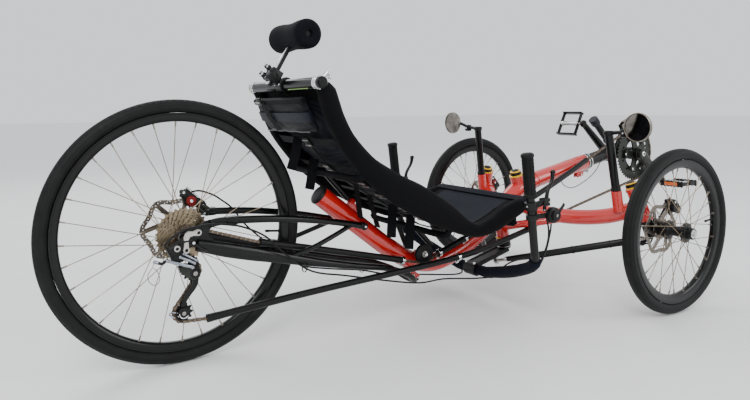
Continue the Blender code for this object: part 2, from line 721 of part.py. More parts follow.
def tie_rod(label, side, pivot):
    inner, outer = on_side(TIE_ROD_INNER, side), on_side(TIE_ROD_OUTER, side)
    line = (outer - inner).normalized()
    inner_eye = ring(inner, TIE_ROD_AXIS, 0.0045, 0.0095, 0.009, 14)
    outer_eye = ring(outer, TIE_ROD_AXIS, 0.0045, 0.0095, 0.009, 14)
    shank = rod(inner + line * 0.0070, outer - line * 0.0070, 0.0050, 8)
    body = rod(inner + line * 0.034, outer - line * 0.034, 0.0085, 12)
    return part(join(inner_eye, outer_eye, shank, body), "tie_rod_" + label, "black_paint", pivot)


def knuckle(label, side, pivot):
    yoke = rod(kingpin_point(side, -0.028), kingpin_point(side, 0.0225), 0.0180, 16)
    steerer = rod(kingpin_point(side, 0), kingpin_point(side, 0.130), STEERER_RADIUS, 16)
    cap = rod(kingpin_point(side, 0.1235), kingpin_point(side, 0.1440), 0.0190, 16, 0.0170)
    axle_foot = Vector((WHEELBASE, side * 0.338, FRONT_RADIUS))
    axle = rod(axle_foot, axle_foot + Y * side * (0.464 - 0.338), 0.0085, 16)
    shoulder = rod(axle_foot, axle_foot + Y * side * (0.3700 - 0.338), 0.0150, 16)
    arm_foot = kingpin_point(side, -0.024)
    arm_head = on_side(TIE_ROD_OUTER, side) - TIE_ROD_AXIS * 0.0150
    arm = rod(arm_foot, arm_head, 0.0080, 10, 0.0055)
    eye = rod(arm_head - TIE_ROD_AXIS * 0.004, arm_head + TIE_ROD_AXIS * 0.004, 0.0095, 14)
    tab_foot = Vector((WHEELBASE + 0.0133, side * 0.3538, FRONT_RADIUS - 0.001))
    tab_head = Vector((WHEELBASE + 0.0693, side * 0.3538, FRONT_RADIUS + 0.059))
    tab_run = tab_head - tab_foot
    tab = block((tab_foot + tab_head) / 2, (tab_run.length, 0.022, 0.006), tab_run, Y)
    body = join(yoke, steerer, cap, axle, shoulder, arm, eye, tab)
    return part(body, "knuckle_" + label, "black_paint", pivot)


def front_caliper(label, side, pivot):
    disc = Vector((WHEELBASE, side * (HALF_TRACK - FRONT_DISC_OFFSET), FRONT_RADIUS))
    radial = Vector((0.68, 0, 0.73))
    return part(caliper(disc, radial, Y * -side, 0.034), "brake_caliper_" + label, "alloy", pivot)


def front_wheel(label, side, pivot):
    centre = Vector((WHEELBASE, side * HALF_TRACK, FRONT_RADIUS))
    outward = Y * side
    part(tyre(centre, FRONT_RADIUS, outward), "front_tyre_" + label, "rubber", pivot)
    inner = FRONT_RADIUS - FRONT_RIM_DEPTH
    laced = spokes(centre, outward, (-0.025, 0.027), 0.026, inner)
    hub = turned(FRONT_HUB, centre, outward, 14, closed=False)
    body = join(rim(centre, FRONT_RADIUS, FRONT_RIM_DEPTH, outward), hub, laced)
    part(body, "front_wheel_" + label, "alloy", pivot)
    disc_centre = centre - outward * FRONT_DISC_OFFSET
    part(disc_rotor(disc_centre, outward, DISC_BORE), "front_disc_" + label, "steel", pivot)


def mirror_post(label, side):
    foot, top = on_side(POST_FOOT, side), on_side(POST_TOP, side)
    post = rod(foot, top, 0.0125, 16)
    clamp = rod(top - Z * 0.004, top + Z * 0.010, 0.0155, 14)
    elbow = on_side((1.2245, 0.330, 0.532), side)
    end = on_side((1.2235, MIRROR.y - 0.012, 0.5455), side)
    arm = rod(top + Z * 0.003, elbow, 0.0055, 8)
    reach = rod(elbow - (end - elbow).normalized() * 0.003, end, 0.0055, 8)
    return part(join(post, clamp, arm, reach), "mirror_post_" + label, "black_paint")


def mirror_head(label, side, pivot):
    profile = [(0, 0), (0.0385, 0), (0.0415, 0.002), (0.0415, 0.008), (0.036, 0.013), (0.014, 0.0165)]
    profile += [(0.009, 0.019)]
    profile += [(0.009, 0.031), (0, 0.031)]
    centre = on_side(MIRROR, side)
    obj = turned(profile[::-1], centre - X * 0.008, X, 20, closed=False)
    return part(obj, "mirror_" + label, "mirror", pivot)


# Drive -----------------------------------------------------------------------


def around(centre, radius, start_deg, end_deg, count, y):
    """Points on an arc in the vertical plane, angles from +X towards +Z."""
    angles = [math.radians(start_deg + (end_deg - start_deg) * i / (count - 1)) for i in range(count)]
    return [Vector((centre.x + radius * math.cos(a), y, centre.z + radius * math.sin(a))) for a in angles]


POWER_REAR = [
    (0.185, -0.0555, 0.2815), (0.330, -0.0450, 0.2460), (0.480, -0.0455, 0.2100), (0.632, -0.0485, 0.1725),
]
POWER_FRONT = [
    (0.757, -0.0510, 0.1760), (0.850, -0.0520, 0.2060), (1.000, -0.0520, 0.2560), (1.178, -0.0520, 0.3190),
    (1.310, -0.0490, 0.3700), (1.426, -0.0470, 0.4190),
]
RETURN_LINE = [
    (0.043, -0.0640, 0.1170), (0.320, -0.0700, 0.1370), (0.600, -0.0790, 0.1520), (0.800, -0.0760, 0.1620),
    (0.950, -0.0660, 0.1770), (1.140, -0.0530, 0.2080),
]


def chain_tube(name, points):
    """A plastic guard tube, open at both ends, that the chain runs through."""
    path = smooth(points, 2)
    shell = wire(path, CHAIN_TUBE_RADIUS, 2, caps=False)
    obj = as_mesh(shell)
    wall = obj.modifiers.new("wall", "SOLIDIFY")
    wall.thickness = 0.0016
    wall.offset = -1
    return part(obj, name, "plastic")


def chain():
    """The whole chain: back from the chainring's top to the cassette, then by the derailleur to its foot."""
    path = around(BB, CHAINRING_PITCH, -72, 113, 16, CHAINRING_Y)
    path += [Vector(p) for p in smooth(POWER_FRONT, 2)[::-1]]
    path += around(IDLER, IDLER_PITCH, -70, -106, 4, IDLER.y)
    path += [Vector(p) for p in smooth(POWER_REAR, 2)[::-1]]
    path += around(REAR_AXLE, COG_PITCH, 74, 262, 9, COG_Y)
    path += around(GUIDE_PULLEY, PULLEY_PITCH, 100, -50, 8, COG_Y)
    path += around(TENSION_PULLEY, PULLEY_PITCH, 140, 274, 7, COG_Y)
    path += [Vector(p) for p in smooth(RETURN_LINE, 2)]
    path.append(Vector((1.357, -0.0500, 0.2600)))
    return part(wire(path, CHAIN_HALF * math.sqrt(2), 0, closed=True), "chain", "steel")


def chainring(pivot):
    centre = Vector((BB.x, CHAINRING_Y, BB.z))
    windows = []
    for i in range(5):
        middle = 2 * math.pi * i / 5
        arc = [(0.072, middle + a) for a in (-0.42, -0.14, 0.14, 0.42)]
        arc += [(0.060, middle + a) for a in (0.36, 0, -0.36)]
        windows.append([(r * math.cos(a), r * math.sin(a)) for r, a in arc])
    holes = [circle(0.046, 20)] + windows
    outer = circle(CHAINRING_PITCH - CHAIN_HALF * math.sqrt(2) - 0.0012, 36)
    return part(as_mesh(plate(outer, 0.004, centre, Y, holes)), "chainring", "steel", pivot)


def crankset(pivot):
    spindle = rod(BB - Y * 0.080, BB + Y * 0.080, 0.0120, 16)
    pieces = []
    for label, side in SIDES:
        angle = CRANK_ANGLE if side > 0 else CRANK_ANGLE - math.pi
        arm = Vector((math.cos(angle), 0, math.sin(angle)))
        root = BB + Y * 0.076 * side
        end = root + arm * CRANK_LENGTH
        pieces.append(rod(root - Y * 0.007, root + Y * 0.007, 0.0170, 16))
        pieces.append(rod(end - Y * 0.006, end + Y * 0.006, 0.0135, 16))
        pieces.append(block((root + end) / 2, (CRANK_LENGTH, 0.0110, 0.0220), arm, Y.cross(arm)))
        pieces.append(rod(end, end + Y * side * 0.096, 0.0045, 10))
    spider_y = CHAINRING_Y - 0.0055
    pieces.append(rod(BB + Y * (spider_y - 0.020), BB + Y * (spider_y + 0.003), 0.0210, 16))
    for i in range(5):
        angle = 2 * math.pi * (i + 0.5) / 5
        out = Vector((math.cos(angle), 0, -math.sin(angle)))
        middle = BB + Y * (spider_y - 0.0005) + out * 0.033
        pieces.append(block(middle, (0.046, 0.005, 0.014), out, Y.cross(out)))
    return part(join(spindle, *pieces), "crankset", "black_paint", pivot)


def pedal_centre(side):
    angle = CRANK_ANGLE if side > 0 else CRANK_ANGLE - math.pi
    return BB + Vector((math.cos(angle) * CRANK_LENGTH, side * 0.138, math.sin(angle) * CRANK_LENGTH))


def pedal(label, side, pivot):
    centre = pedal_centre(side)
    tilt = LEFT_PEDAL_TILT if side > 0 else 0
    along = Vector((math.cos(tilt), 0, math.sin(tilt)))
    up = along.cross(Y)
    body = block(centre, (0.096, 0.086, 0.022), along, up)
    windows = [block(centre + along * 0.029 * way, (0.030, 0.062, 0.030), along, up) for way in (1, -1)]
    bore = rod(centre - Y * side * 0.050, centre + Y * side * 0.037, 0.0048, 10)
    reflectors = [block(centre + along * 0.0485 * way, (0.005, 0.050, 0.014), along, up) for way in (1, -1)]
    return part(cut(join(body, *reflectors), *windows, bore), "pedal_" + label, "alloy", pivot)


def cassette(pivot):
    """Sprockets from the largest, inboard, down to the smallest, at the chain."""
    bore = 0.0171
    radii = (0.063, 0.055, 0.047, 0.040, 0.033, 0.0275)
    step = 0.0040
    y = -0.0335
    profile = [(bore, y)]
    for radius in radii:
        profile += [(radius, y), (radius, y - step)]
        y -= step
    last = COG_PITCH - CHAIN_HALF * math.sqrt(2) - 0.0008
    profile += [(last, y), (last, COG_Y - 0.0015), (bore, COG_Y - 0.0015)]
    return part(turned(profile, REAR_AXLE, Y, 18), "cassette", "steel", pivot)


def pulley(name, centre, pitch, bore, pivot, half=0.0035):
    """A chain wheel with a flat groove just clear of the chain."""
    radius = pitch - CHAIN_HALF * math.sqrt(2) - 0.0010
    profile = [(radius, half), (radius, -half), (bore, -half), (bore, half)]
    return part(turned(profile, centre, Y, 22), name, "plastic", pivot)


def rear_derailleur():
    """Knuckle, parallelogram body and the pulley cage with its two bolts."""
    hanger = Vector((0.030, -0.0795, 0.268))
    knuckle_block = rod(hanger - Y * 0.010, hanger + Y * 0.004, 0.0120, 14)
    lower = Vector((0.006, -0.0840, 0.236))
    body = block((hanger + lower) / 2 - Y * 0.006, (0.052, 0.026, 0.013), lower - hanger, Y)
    cage_knuckle = rod(lower - Y * 0.009, lower + Y * 0.0125, 0.0150, 12)
    line = TENSION_PULLEY - GUIDE_PULLEY
    pieces = [body, cage_knuckle]
    for y in (COG_Y - 0.0085, COG_Y + 0.0075):
        centre = (GUIDE_PULLEY + TENSION_PULLEY) / 2
        pieces.append(block((centre.x, y, centre.z), (line.length + 0.014, 0.013, 0.002), line, Y))
    for centre in (GUIDE_PULLEY, TENSION_PULLEY):
        pieces.append(rod(centre - Y * 0.0105, centre + Y * 0.0085, 0.0036, 10))
    return part(join(knuckle_block, *pieces), "rear_derailleur", "black_paint")


# Headrest --------------------------------------------------------------------


def headrest(tilt, height):
    slide = (ROLLER - HEAD_HINGE).normalized()
    rearward = slide.cross(Y)
    bracket = ring(SEAT_CROSSBAR, Y, 0.0148, 0.0205, 0.034, 20)
    arm_at = (SEAT_CROSSBAR + HEAD_HINGE) / 2 + Vector((-0.006, 0, 0.003))
    arm = block(arm_at, (0.020, 0.022, 0.012), HEAD_HINGE - SEAT_CROSSBAR)
    body = block(HEAD_HINGE, (0.034, 0.034, 0.032), slide)
    knobs = []
    for shift in (-0.010, 0.010):
        foot = HEAD_HINGE + slide * shift + rearward * 0.014
        knobs.append(rod(foot, foot + rearward * 0.020, 0.0075, 10))
    slot = block(HEAD_HINGE, (0.060, 0.0226, 0.0126), slide)
    part(cut(join(bracket, arm, body, *knobs), slot), "headrest_bracket", "black_paint", tilt)
    post = block(HEAD_HINGE + slide * 0.0440, (0.148, 0.022, 0.012), slide)
    spindle = rod(ROLLER - Y * 0.079, ROLLER + Y * 0.079, 0.0080, 12)
    part(join(post, spindle), "headrest_post", "alloy", height)
    outer = [(0.030, 0.088), (0.0375, 0.079), (0.0365, 0.050), (0.0315, 0.018)]
    outer += [(0.0315, -0.018), (0.0365, -0.050)]
    outer += [(0.0375, -0.079), (0.030, -0.088), (0.0085, -0.088), (0.0085, 0.088)]
    roller = turned(outer, ROLLER, Y, 16)
    relief = block(ROLLER - slide * 0.026, (0.052, 0.0230, 0.0130), slide)
    part(cut(roller, relief), "headrest_roller", "rubber", height)


# Cables held by the frame ----------------------------------------------------

SHIFT_CABLE = [
    (0.860, -0.0370, 0.1180), (0.780, -0.0500, 0.0960), (0.680, -0.0600, 0.1020), (0.560, -0.0620, 0.1280),
    (0.430, -0.0640, 0.1620), (0.320, -0.0770, 0.1930), (0.240, -0.0900, 0.2500), (0.185, -0.0960, 0.3020),
    (0.130, -0.0990, 0.3310), (0.090, -0.1000, 0.3420), (0.045, -0.1010, 0.3480), (-0.009, -0.1020, 0.3430),
    (-0.040, -0.1020, 0.3300), (-0.066, -0.1020, 0.3060),
    (-0.067, -0.1010, 0.2900), (-0.056, -0.0990, 0.2790),
    (-0.040, -0.0970, 0.2750),
]
BRAKE_CABLE = [
    (0.860, 0.0370, 0.1100), (0.760, 0.0480, 0.0900), (0.660, 0.0560, 0.1020), (0.560, 0.0640, 0.1290),
    (0.430, 0.0700, 0.1620), (0.300, 0.0800, 0.1960), (0.180, 0.0900, 0.2350), (0.115, 0.0960, 0.2700),
    (0.095, 0.0980, 0.3200), (0.094, 0.0950, 0.3700), (0.088, 0.0840, 0.4080), (0.074, 0.0700, 0.4120),
    (0.062, 0.0600, 0.4010),
]


def cable(name, points):
    return part(wire(smooth(points, 2), 0.0025), name, "plastic")


# Assembly --------------------------------------------------------------------


def build():
    main_frame()
    tube_end_cap()
    centre_head_cap()
    rear_triangle()
    rear_axle()
    boom()
    boom_collar()
    accessory_post()
    front_derailleur()
    seat_frame()
    seat_cover()
    seat_pocket()
    seat_webbing()
    chain_tube("power_tube_rear", POWER_REAR)
    chain_tube("power_tube_front", POWER_FRONT)
    chain_tube("return_tube", RETURN_LINE)
    chain()
    rear_derailleur()
    cable("shift_cable", SHIFT_CABLE)
    cable("brake_cable", BRAKE_CABLE)
    rear_disc = REAR_AXLE + Y * REAR_DISC_Y
    part(caliper(rear_disc, (0.60, 0, 0.80), Y, 0.024), "brake_caliper_rear", "alloy")

    rear = pivot_at("rear_wheel_pivot", REAR_AXLE, Y)
    part(tyre(REAR_AXLE, REAR_RADIUS, Y), "rear_tyre", "rubber", rear)
    laced = spokes(REAR_AXLE, Y, (-0.027, 0.033), 0.027, REAR_RADIUS - REAR_RIM_DEPTH)
    hub = turned(REAR_HUB, REAR_AXLE, Y, 16)
    part(join(rim(REAR_AXLE, REAR_RADIUS, REAR_RIM_DEPTH, Y), hub, laced), "rear_wheel", "alloy", rear)
    part(disc_rotor(rear_disc, Y, DISC_BORE), "rear_disc", "steel", rear)
    cassette(pivot_at("cassette_pivot", REAR_AXLE, Y))

    crank = pivot_at("crank_pivot", BB, Y)
    crankset(crank)
    chainring(crank)
    pulley("idler", IDLER, IDLER_PITCH, 0.0053, pivot_at("idler_pivot", IDLER, Y), 0.0060)
    pulley("guide_pulley", GUIDE_PULLEY, PULLEY_PITCH, 0.0039, pivot_at("guide_pivot", GUIDE_PULLEY, Y))
    turn = pivot_at("tension_pivot", TENSION_PULLEY, Y)
    pulley("tension_pulley", TENSION_PULLEY, PULLEY_PITCH, 0.0039, turn)

    steer = pivot_at("steering_pivot", STEER_POINT, STEER_AXIS)
    stem(steer)
    handlebar(steer)
    shift_lever(pivot_at("shift_pivot", on_side(SHIFTER, -1), Y, steer))
    for label, side in SIDES:
        grip(label, side, steer)
        lever_mount(label, side, steer)
        lever_at = on_side(LEVER_PIVOT, side) + X * 0.004
        brake_lever(label, side, pivot_at("lever_pivot_" + label, lever_at, Y, steer))
        rod_at = on_side(TIE_ROD_INNER, side)
        tie_rod(label, side, pivot_at("tie_rod_pivot_" + label, rod_at, TIE_ROD_AXIS, steer))
        upright = pivot_at("kingpin_pivot_" + label, on_side(KINGPIN, side), on_side(KINGPIN_AXIS, side))
        knuckle(label, side, upright)
        front_caliper(label, side, upright)
        wheel_centre = Vector((WHEELBASE, side * HALF_TRACK, FRONT_RADIUS))
        front_wheel(label, side, pivot_at("wheel_pivot_" + label, wheel_centre, Y, upright))
        mirror_post(label, side)
        mirror_head(label, side, pivot_at("mirror_pivot_" + label, on_side(MIRROR, side) + X * 0.023, Z))
        pedal(label, side, pivot_at("pedal_pivot_" + label, pedal_centre(side), Y, crank))

    tilt = pivot_at("headrest_tilt_pivot", SEAT_CROSSBAR, Y)
    headrest(tilt, pivot_at("headrest_slide", HEAD_HINGE, ROLLER - HEAD_HINGE, tilt))


build()
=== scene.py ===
"""Looks for the recumbent tricycle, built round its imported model.

Metres, in the model's frame: the origin is on the ground under the rear axle, +X forward, +Y to the
rider's left. mm(), mm2() and mm3() take millimetres.
"""

from math import copysign, cos, pi, radians, sin

import bmesh
import bpy
from mathutils import Matrix, Vector


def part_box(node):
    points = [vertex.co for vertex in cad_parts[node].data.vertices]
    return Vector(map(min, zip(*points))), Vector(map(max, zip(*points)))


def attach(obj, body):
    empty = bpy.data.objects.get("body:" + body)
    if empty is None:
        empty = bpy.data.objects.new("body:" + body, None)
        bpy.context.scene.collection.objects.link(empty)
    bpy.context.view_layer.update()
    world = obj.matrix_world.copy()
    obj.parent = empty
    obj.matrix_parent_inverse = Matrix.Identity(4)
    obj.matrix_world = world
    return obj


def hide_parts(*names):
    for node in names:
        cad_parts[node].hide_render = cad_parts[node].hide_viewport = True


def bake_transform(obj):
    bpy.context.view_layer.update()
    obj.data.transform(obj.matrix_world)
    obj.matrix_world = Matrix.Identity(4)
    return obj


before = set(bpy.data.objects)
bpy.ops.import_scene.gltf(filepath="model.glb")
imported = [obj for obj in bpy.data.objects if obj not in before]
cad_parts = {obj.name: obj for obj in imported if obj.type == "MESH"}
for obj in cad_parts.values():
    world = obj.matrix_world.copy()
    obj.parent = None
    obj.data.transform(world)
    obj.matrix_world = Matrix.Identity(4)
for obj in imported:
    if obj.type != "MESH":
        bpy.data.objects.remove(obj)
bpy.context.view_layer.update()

X, Y, Z = Vector((1, 0, 0)), Vector((0, 1, 0)), Vector((0, 0, 1))


def mm(*place):
    """A place given in millimetres."""
    return Vector([value / 1000 for value in place])


def mm2(*values):
    """Pairs of metres from a run of millimetres."""
    return [(a / 1000, b / 1000) for a, b in zip(values[::2], values[1::2])]


def mm3(*values):
    """Triples of metres from a run of millimetres."""
    return [tuple(value / 1000 for value in values[i : i + 3]) for i in range(0, len(values), 3)]


SIDES = (("left", 1), ("right", -1))
TAU = 2 * pi

# Dimensions shared with the model.
REAR_RADIUS, FRONT_RADIUS = 0.3175, 0.2415
REAR_AXLE = Vector((0, 0, REAR_RADIUS))
REAR_DISC = REAR_AXLE + Y * 0.055
WHEELBASE, HALF_TRACK = 1.34, 0.425
BB = mm(1700, 0, 430)
BOOM_DIRECTION = Vector((0.983, 0, 0.184)).normalized()
BOOM_ANCHOR = mm(1226, 0, 360)
BOOM_UP = BOOM_DIRECTION.cross(Y)
SLEEVE_END = 1.47
BOOM_RADIUS, BOOM_CLAMP_BORE, STEERER_RADIUS = 0.0225, 0.0228, 0.0142
CHAINRING_Y, COG_Y = -0.045, -0.063
IDLER = mm(705, -50, 182)
GUIDE = Vector((0.008, COG_Y, 0.238))
TENSION = Vector((-0.014, COG_Y, 0.142))
STEER_POINT = mm(1071, 0, 207)
STEER_AXIS = Vector((-0.19, 0, 0.982)).normalized()
KINGPIN = mm(1328, 345, 241.5)
KINGPIN_AXIS = Vector((-0.2126, -0.325, 1)).normalized()
TIE_INNER, TIE_OUTER = mm(1025, 22, 112), mm(1283, 352, 214)
TIE_AXIS = Vector((-0.126, 0, 0.992)).normalized()
BAR_CENTRE = mm(943, 0, 95)
GRIP_TOP = mm(847.5, 304.5, 486)
BAR_LEAN = Vector((-0.125, 0, 1)).normalized()
LEVER_PIVOT = mm(910, 315, 352)
SHIFTER = mm(921, 330, 317)
MIRROR = mm(1200, 388, 547)
POST_FOOT, POST_TOP = mm(1252.5, 286.2, 352), mm(1224, 277, 524)
POST_AXIS = (POST_TOP - POST_FOOT).normalized()
CROSSBAR = mm(286, 0, 670)
HEAD_HINGE, ROLLER = mm(255.5, 0, 693.5), mm(317, 0, 796)
CRANK_ANGLE, CRANK_LENGTH = radians(140), 0.172
RAIL_Y, RAIL_RADIUS, PIPING_Y = 0.185, 0.0125, 0.141
LEFT_PEDAL_TILT = 65


def on_side(point, side):
    return Vector((point[0], point[1] * side, point[2]))


def line_on_side(points, side):
    return [on_side(p, side) for p in points]


def boom_at(x):
    return BOOM_ANCHOR + BOOM_DIRECTION * ((x - BOOM_ANCHOR.x) / BOOM_DIRECTION.x)


def kingpin_at(side, along):
    return on_side(KINGPIN + KINGPIN_AXIS * along, side)


def bar_at(side, z):
    return on_side(GRIP_TOP - BAR_LEAN * ((GRIP_TOP.z - z) / BAR_LEAN.z), side)


# Camera, light and floor ------------------------------------------------------


def set_stage():
    yaw, pitch, roll = 1.03919, -0.07604, -0.01027
    ahead = Vector((cos(pitch) * cos(yaw), cos(pitch) * sin(yaw), sin(pitch)))
    right = Vector((sin(yaw), -cos(yaw), 0))
    up = right.cross(ahead)
    right_turned = right * cos(roll) + up * sin(roll)
    up_turned = up * cos(roll) - right * sin(roll)
    data = bpy.data.cameras.new("camera")
    data.lens = 29.4
    data.sensor_width = 36
    data.shift_x = 0.0518
    data.shift_y = -0.0615
    camera = bpy.data.objects.new("camera", data)
    turn = Matrix((right_turned, up_turned, -ahead)).transposed().to_4x4()
    camera.matrix_world = Matrix.Translation((-0.40782, -1.44196, 0.61232)) @ turn
    bpy.context.scene.collection.objects.link(camera)
    bpy.context.scene.camera = camera

    world = bpy.data.worlds.new("studio")
    bpy.context.scene.world = world
    world.use_nodes = True
    world.node_tree.nodes["Background"].inputs["Color"].default_value = (0.95, 0.97, 1.0, 1)
    world.node_tree.nodes["Background"].inputs["Strength"].default_value = 1.15
    for name, place, size, power in (("key", (-1.8, -2.6, 3.2), 1.6, 95), ("fill", (3.6, -3.4, 2.2), 2.0, 55),
                                     ("back", (1.0, 3.2, 3.0), 2.2, 55)):
        light = bpy.data.lights.new(name, "AREA")
        light.size = size
        light.energy = power
        lamp = bpy.data.objects.new(name, light)
        lamp.location = place
        lamp.rotation_euler = (Vector((0.8, 0, 0.3)) - Vector(place)).to_track_quat("-Z", "Y").to_euler()
        bpy.context.scene.collection.objects.link(lamp)


# Materials --------------------------------------------------------------------


def material(
    name, dark, light, roughness, metallic=0.0, coat=0.0, sheen=0.0, specular=0.5, grain=60.0, spread=0.12,
    bump=0.0, bump_scale=900.0, stretch=(1, 1, 1), scuff=0.0, weave=None,
):
    """A procedural finish: mottled colour and roughness, fine relief, scuffs, and threads where woven."""
    made = bpy.data.materials.new(name)
    made.use_nodes = True
    nodes, links = made.node_tree.nodes, made.node_tree.links
    shader = nodes["Principled BSDF"]

    def fill(found, **values):
        for key, value in values.items():
            found.inputs[key.replace("_", " ")].default_value = value
        return found

    def node(kind, **values):
        return fill(nodes.new(kind), **values)

    def wire(source, output, target, socket):
        links.new(source.outputs[output], target.inputs[socket])

    fill(shader, Metallic=metallic, Specular_IOR_Level=specular, Coat_Weight=coat, Coat_Roughness=0.06)
    fill(shader, Sheen_Weight=sheen, Sheen_Roughness=0.5)
    place = node("ShaderNodeTexCoord")
    mapping = node("ShaderNodeMapping", Scale=stretch)
    wire(place, "Object", mapping, "Vector")
    mottle = node("ShaderNodeTexNoise", Scale=grain, Detail=5.0, Roughness=0.6)
    wire(mapping, "Vector", mottle, "Vector")
    ramp = nodes.new("ShaderNodeValToRGB")
    ramp.color_ramp.elements[0].color = (*dark, 1)
    ramp.color_ramp.elements[1].color = (*light, 1)
    ramp.color_ramp.elements[0].position = 0.32
    ramp.color_ramp.elements[1].position = 0.7
    wire(mottle, "Fac", ramp, "Fac")
    colour = ramp.outputs["Color"]
    rough = node("ShaderNodeMapRange", To_Min=max(0.02, roughness - spread),
                 To_Max=min(1.0, roughness + spread))
    wire(mottle, "Fac", rough, "Value")
    wire(rough, "Result", shader, "Roughness")
    relief = node("ShaderNodeTexNoise", Scale=bump_scale, Detail=3.0, Roughness=0.55)
    wire(mapping, "Vector", relief, "Vector")
    height = relief.outputs["Fac"]
    if weave:
        turn, pitch, lift = weave
        turned = node("ShaderNodeMapping", Rotation=(0, turn, 0))
        wire(place, "Object", turned, "Vector")
        threads = []
        for way in ("X", "Y"):
            wave = node("ShaderNodeTexWave", Scale=0.314 / pitch)
            wave.wave_type, wave.bands_direction = "BANDS", way
            wire(turned, "Vector", wave, "Vector")
            threads.append(wave.outputs["Fac"])
        cross = node("ShaderNodeMath")
        cross.operation = "MULTIPLY"
        links.new(threads[0], cross.inputs[0])
        links.new(threads[1], cross.inputs[1])
        shade = node("ShaderNodeMix")
        shade.data_type, shade.blend_type = "RGBA", "ADD"
        shade.inputs["B"].default_value = (*lift, 1)
        links.new(cross.outputs[0], shade.inputs["Factor"])
        links.new(colour, shade.inputs["A"])
        colour, height = shade.outputs["Result"], cross.outputs[0]
    if scuff:
        marks = node("ShaderNodeTexNoise", Scale=34.0, Detail=9.0, Roughness=0.78, Distortion=1.2)
        wire(place, "Object", marks, "Vector")
        edge = node("ShaderNodeMapRange", From_Min=0.6, From_Max=0.74, To_Max=scuff)
        wire(marks, "Fac", edge, "Value")
        worn = node("ShaderNodeMix")
        worn.data_type = "RGBA"
        worn.inputs["B"].default_value = (*[min(1, c * 2.5 + 0.02) for c in light], 1)
        wire(edge, "Result", worn, "Factor")
        links.new(colour, worn.inputs["A"])
        colour = worn.outputs["Result"]
    links.new(colour, shader.inputs["Base Color"])
    if bump:
        lifted = node("ShaderNodeBump", Strength=bump, Distance=0.0006)
        links.new(height, lifted.inputs["Height"])
        wire(lifted, "Normal", shader, "Normal")
    return made


def grey(value, tint=(1, 1, 1)):
    return tuple(value * c for c in tint)


SEAT_SLOPE = 0.6
RED = material("red_paint", (0.5, 0.0075, 0.004), (0.57, 0.0105, 0.0055), 0.26, coat=0.8, grain=25,
               spread=0.05, bump=0.03, bump_scale=300, scuff=0.06)
BLACK = material("black_paint", grey(0.002), grey(0.004), 0.3, coat=0.15, specular=0.2, grain=40, bump=0.04,
                 bump_scale=500, scuff=0.06)
SATIN = material("satin_black", grey(0.0032), grey(0.007), 0.4, specular=0.26, grain=90, spread=0.1,
                 bump=0.06, scuff=0.14)
PLASTIC = material("black_plastic", grey(0.0028), grey(0.006), 0.42, specular=0.22, grain=120, bump=0.12,
                   bump_scale=1400, scuff=0.06)
TYRE = material("tyre_rubber", grey(0.004, (0.97, 1, 1.02)), grey(0.0095), 0.58, specular=0.18, grain=30,
                bump=0.2, bump_scale=700, scuff=0.25)
GRIP = material("grip_rubber", grey(0.003), grey(0.007), 0.55, specular=0.2, grain=70, bump=0.25,
                bump_scale=1100, scuff=0.08)
FOAM = material("foam_sleeve", (0.0016, 0.0021, 0.0036), (0.004, 0.0048, 0.0076), 0.9, sheen=0.02,
                specular=0.1, grain=60, bump=0.6, bump_scale=1500)
NAVY_FOAM = material("navy_foam", (0.0022, 0.0032, 0.008), (0.0042, 0.006, 0.0135), 0.85, sheen=0.02,
                     specular=0.1, grain=60, bump=0.4, bump_scale=1400)
ALLOY = material("alloy", grey(0.5), grey(0.66), 0.3, metallic=1, grain=50, spread=0.1, bump=0.05,
                 bump_scale=1200, stretch=(1, 1, 6))
CHROME = material("chrome", grey(0.72), grey(0.82), 0.1, metallic=1, grain=30, spread=0.05)
STEEL = material("brushed_steel", (0.25, 0.24, 0.22), (0.44, 0.42, 0.39), 0.34, metallic=1, grain=160,
                 spread=0.12, bump=0.08, bump_scale=1600)
BRONZE = material("coated_steel", (0.2, 0.155, 0.1), (0.38, 0.31, 0.21), 0.34, metallic=1, grain=140,
                  spread=0.14)
CHAIN = material("chain_steel", (0.06, 0.046, 0.036), (0.2, 0.155, 0.12), 0.4, metallic=0.9, grain=260,
                 spread=0.16)
SPOKE = material("spoke_steel", (0.2, 0.155, 0.105), (0.36, 0.29, 0.21), 0.28, metallic=1, grain=70)
OLIVE = material("ring_alloy", (0.012, 0.0135, 0.0105), (0.026, 0.028, 0.022), 0.3, metallic=0.5, grain=80,
                 scuff=0.2)
ROTOR = material("rotor_steel", (0.15, 0.135, 0.115), (0.3, 0.27, 0.235), 0.36, metallic=1, grain=180,
                 spread=0.12, bump=0.1, bump_scale=1500)
GOLD = material("gold_anodised", (0.7, 0.38, 0.008), (0.86, 0.5, 0.02), 0.3, metallic=0.35, grain=60,
                coat=0.2)
DARK_RED = material("dark_red_anodised", (0.16, 0.008, 0.008), (0.26, 0.014, 0.012), 0.3, metallic=0.6,
                    grain=80)
COPPER = material("bronze_plate", (0.1, 0.045, 0.02), (0.2, 0.095, 0.045), 0.32, metallic=0.9, grain=120)
GREEN = material("green_band", (0.14, 0.24, 0.05), (0.24, 0.38, 0.1), 0.4, coat=0.4, grain=90, bump=0.1)
ORANGE = material("orange_reflector", (0.62, 0.1, 0.01), (0.8, 0.18, 0.02), 0.16, coat=1, grain=400, bump=0.5,
                  bump_scale=900)
# The mirror's colour is a painted reflection: a dim, brownish, mottled tint stands in for the surroundings it
# would show, because the plain backdrop gives it nothing to reflect.
PAINTED_REFLECTION_GLASS = material("mirror_glass_painted_reflection", (0.1, 0.088, 0.076), (0.34, 0.31, 0.28), 0.06, metallic=1, grain=26,
                 spread=0.03)
MESH_CLOTH = material("seat_mesh", (0.0022, 0.003, 0.0056), (0.005, 0.0064, 0.011), 0.8, sheen=0.02,
                      specular=0.12, grain=30, bump=0.7, weave=(SEAT_SLOPE, 0.0034, (0.016, 0.019, 0.027)))
BAND_CLOTH = material("seat_neoprene", (0.0012, 0.0012, 0.0015), (0.0026, 0.0026, 0.0032), 0.86, sheen=0.015,
                      specular=0.1, grain=40, bump=0.35, weave=(SEAT_SLOPE, 0.0011, (0.001, 0.001, 0.0014)))
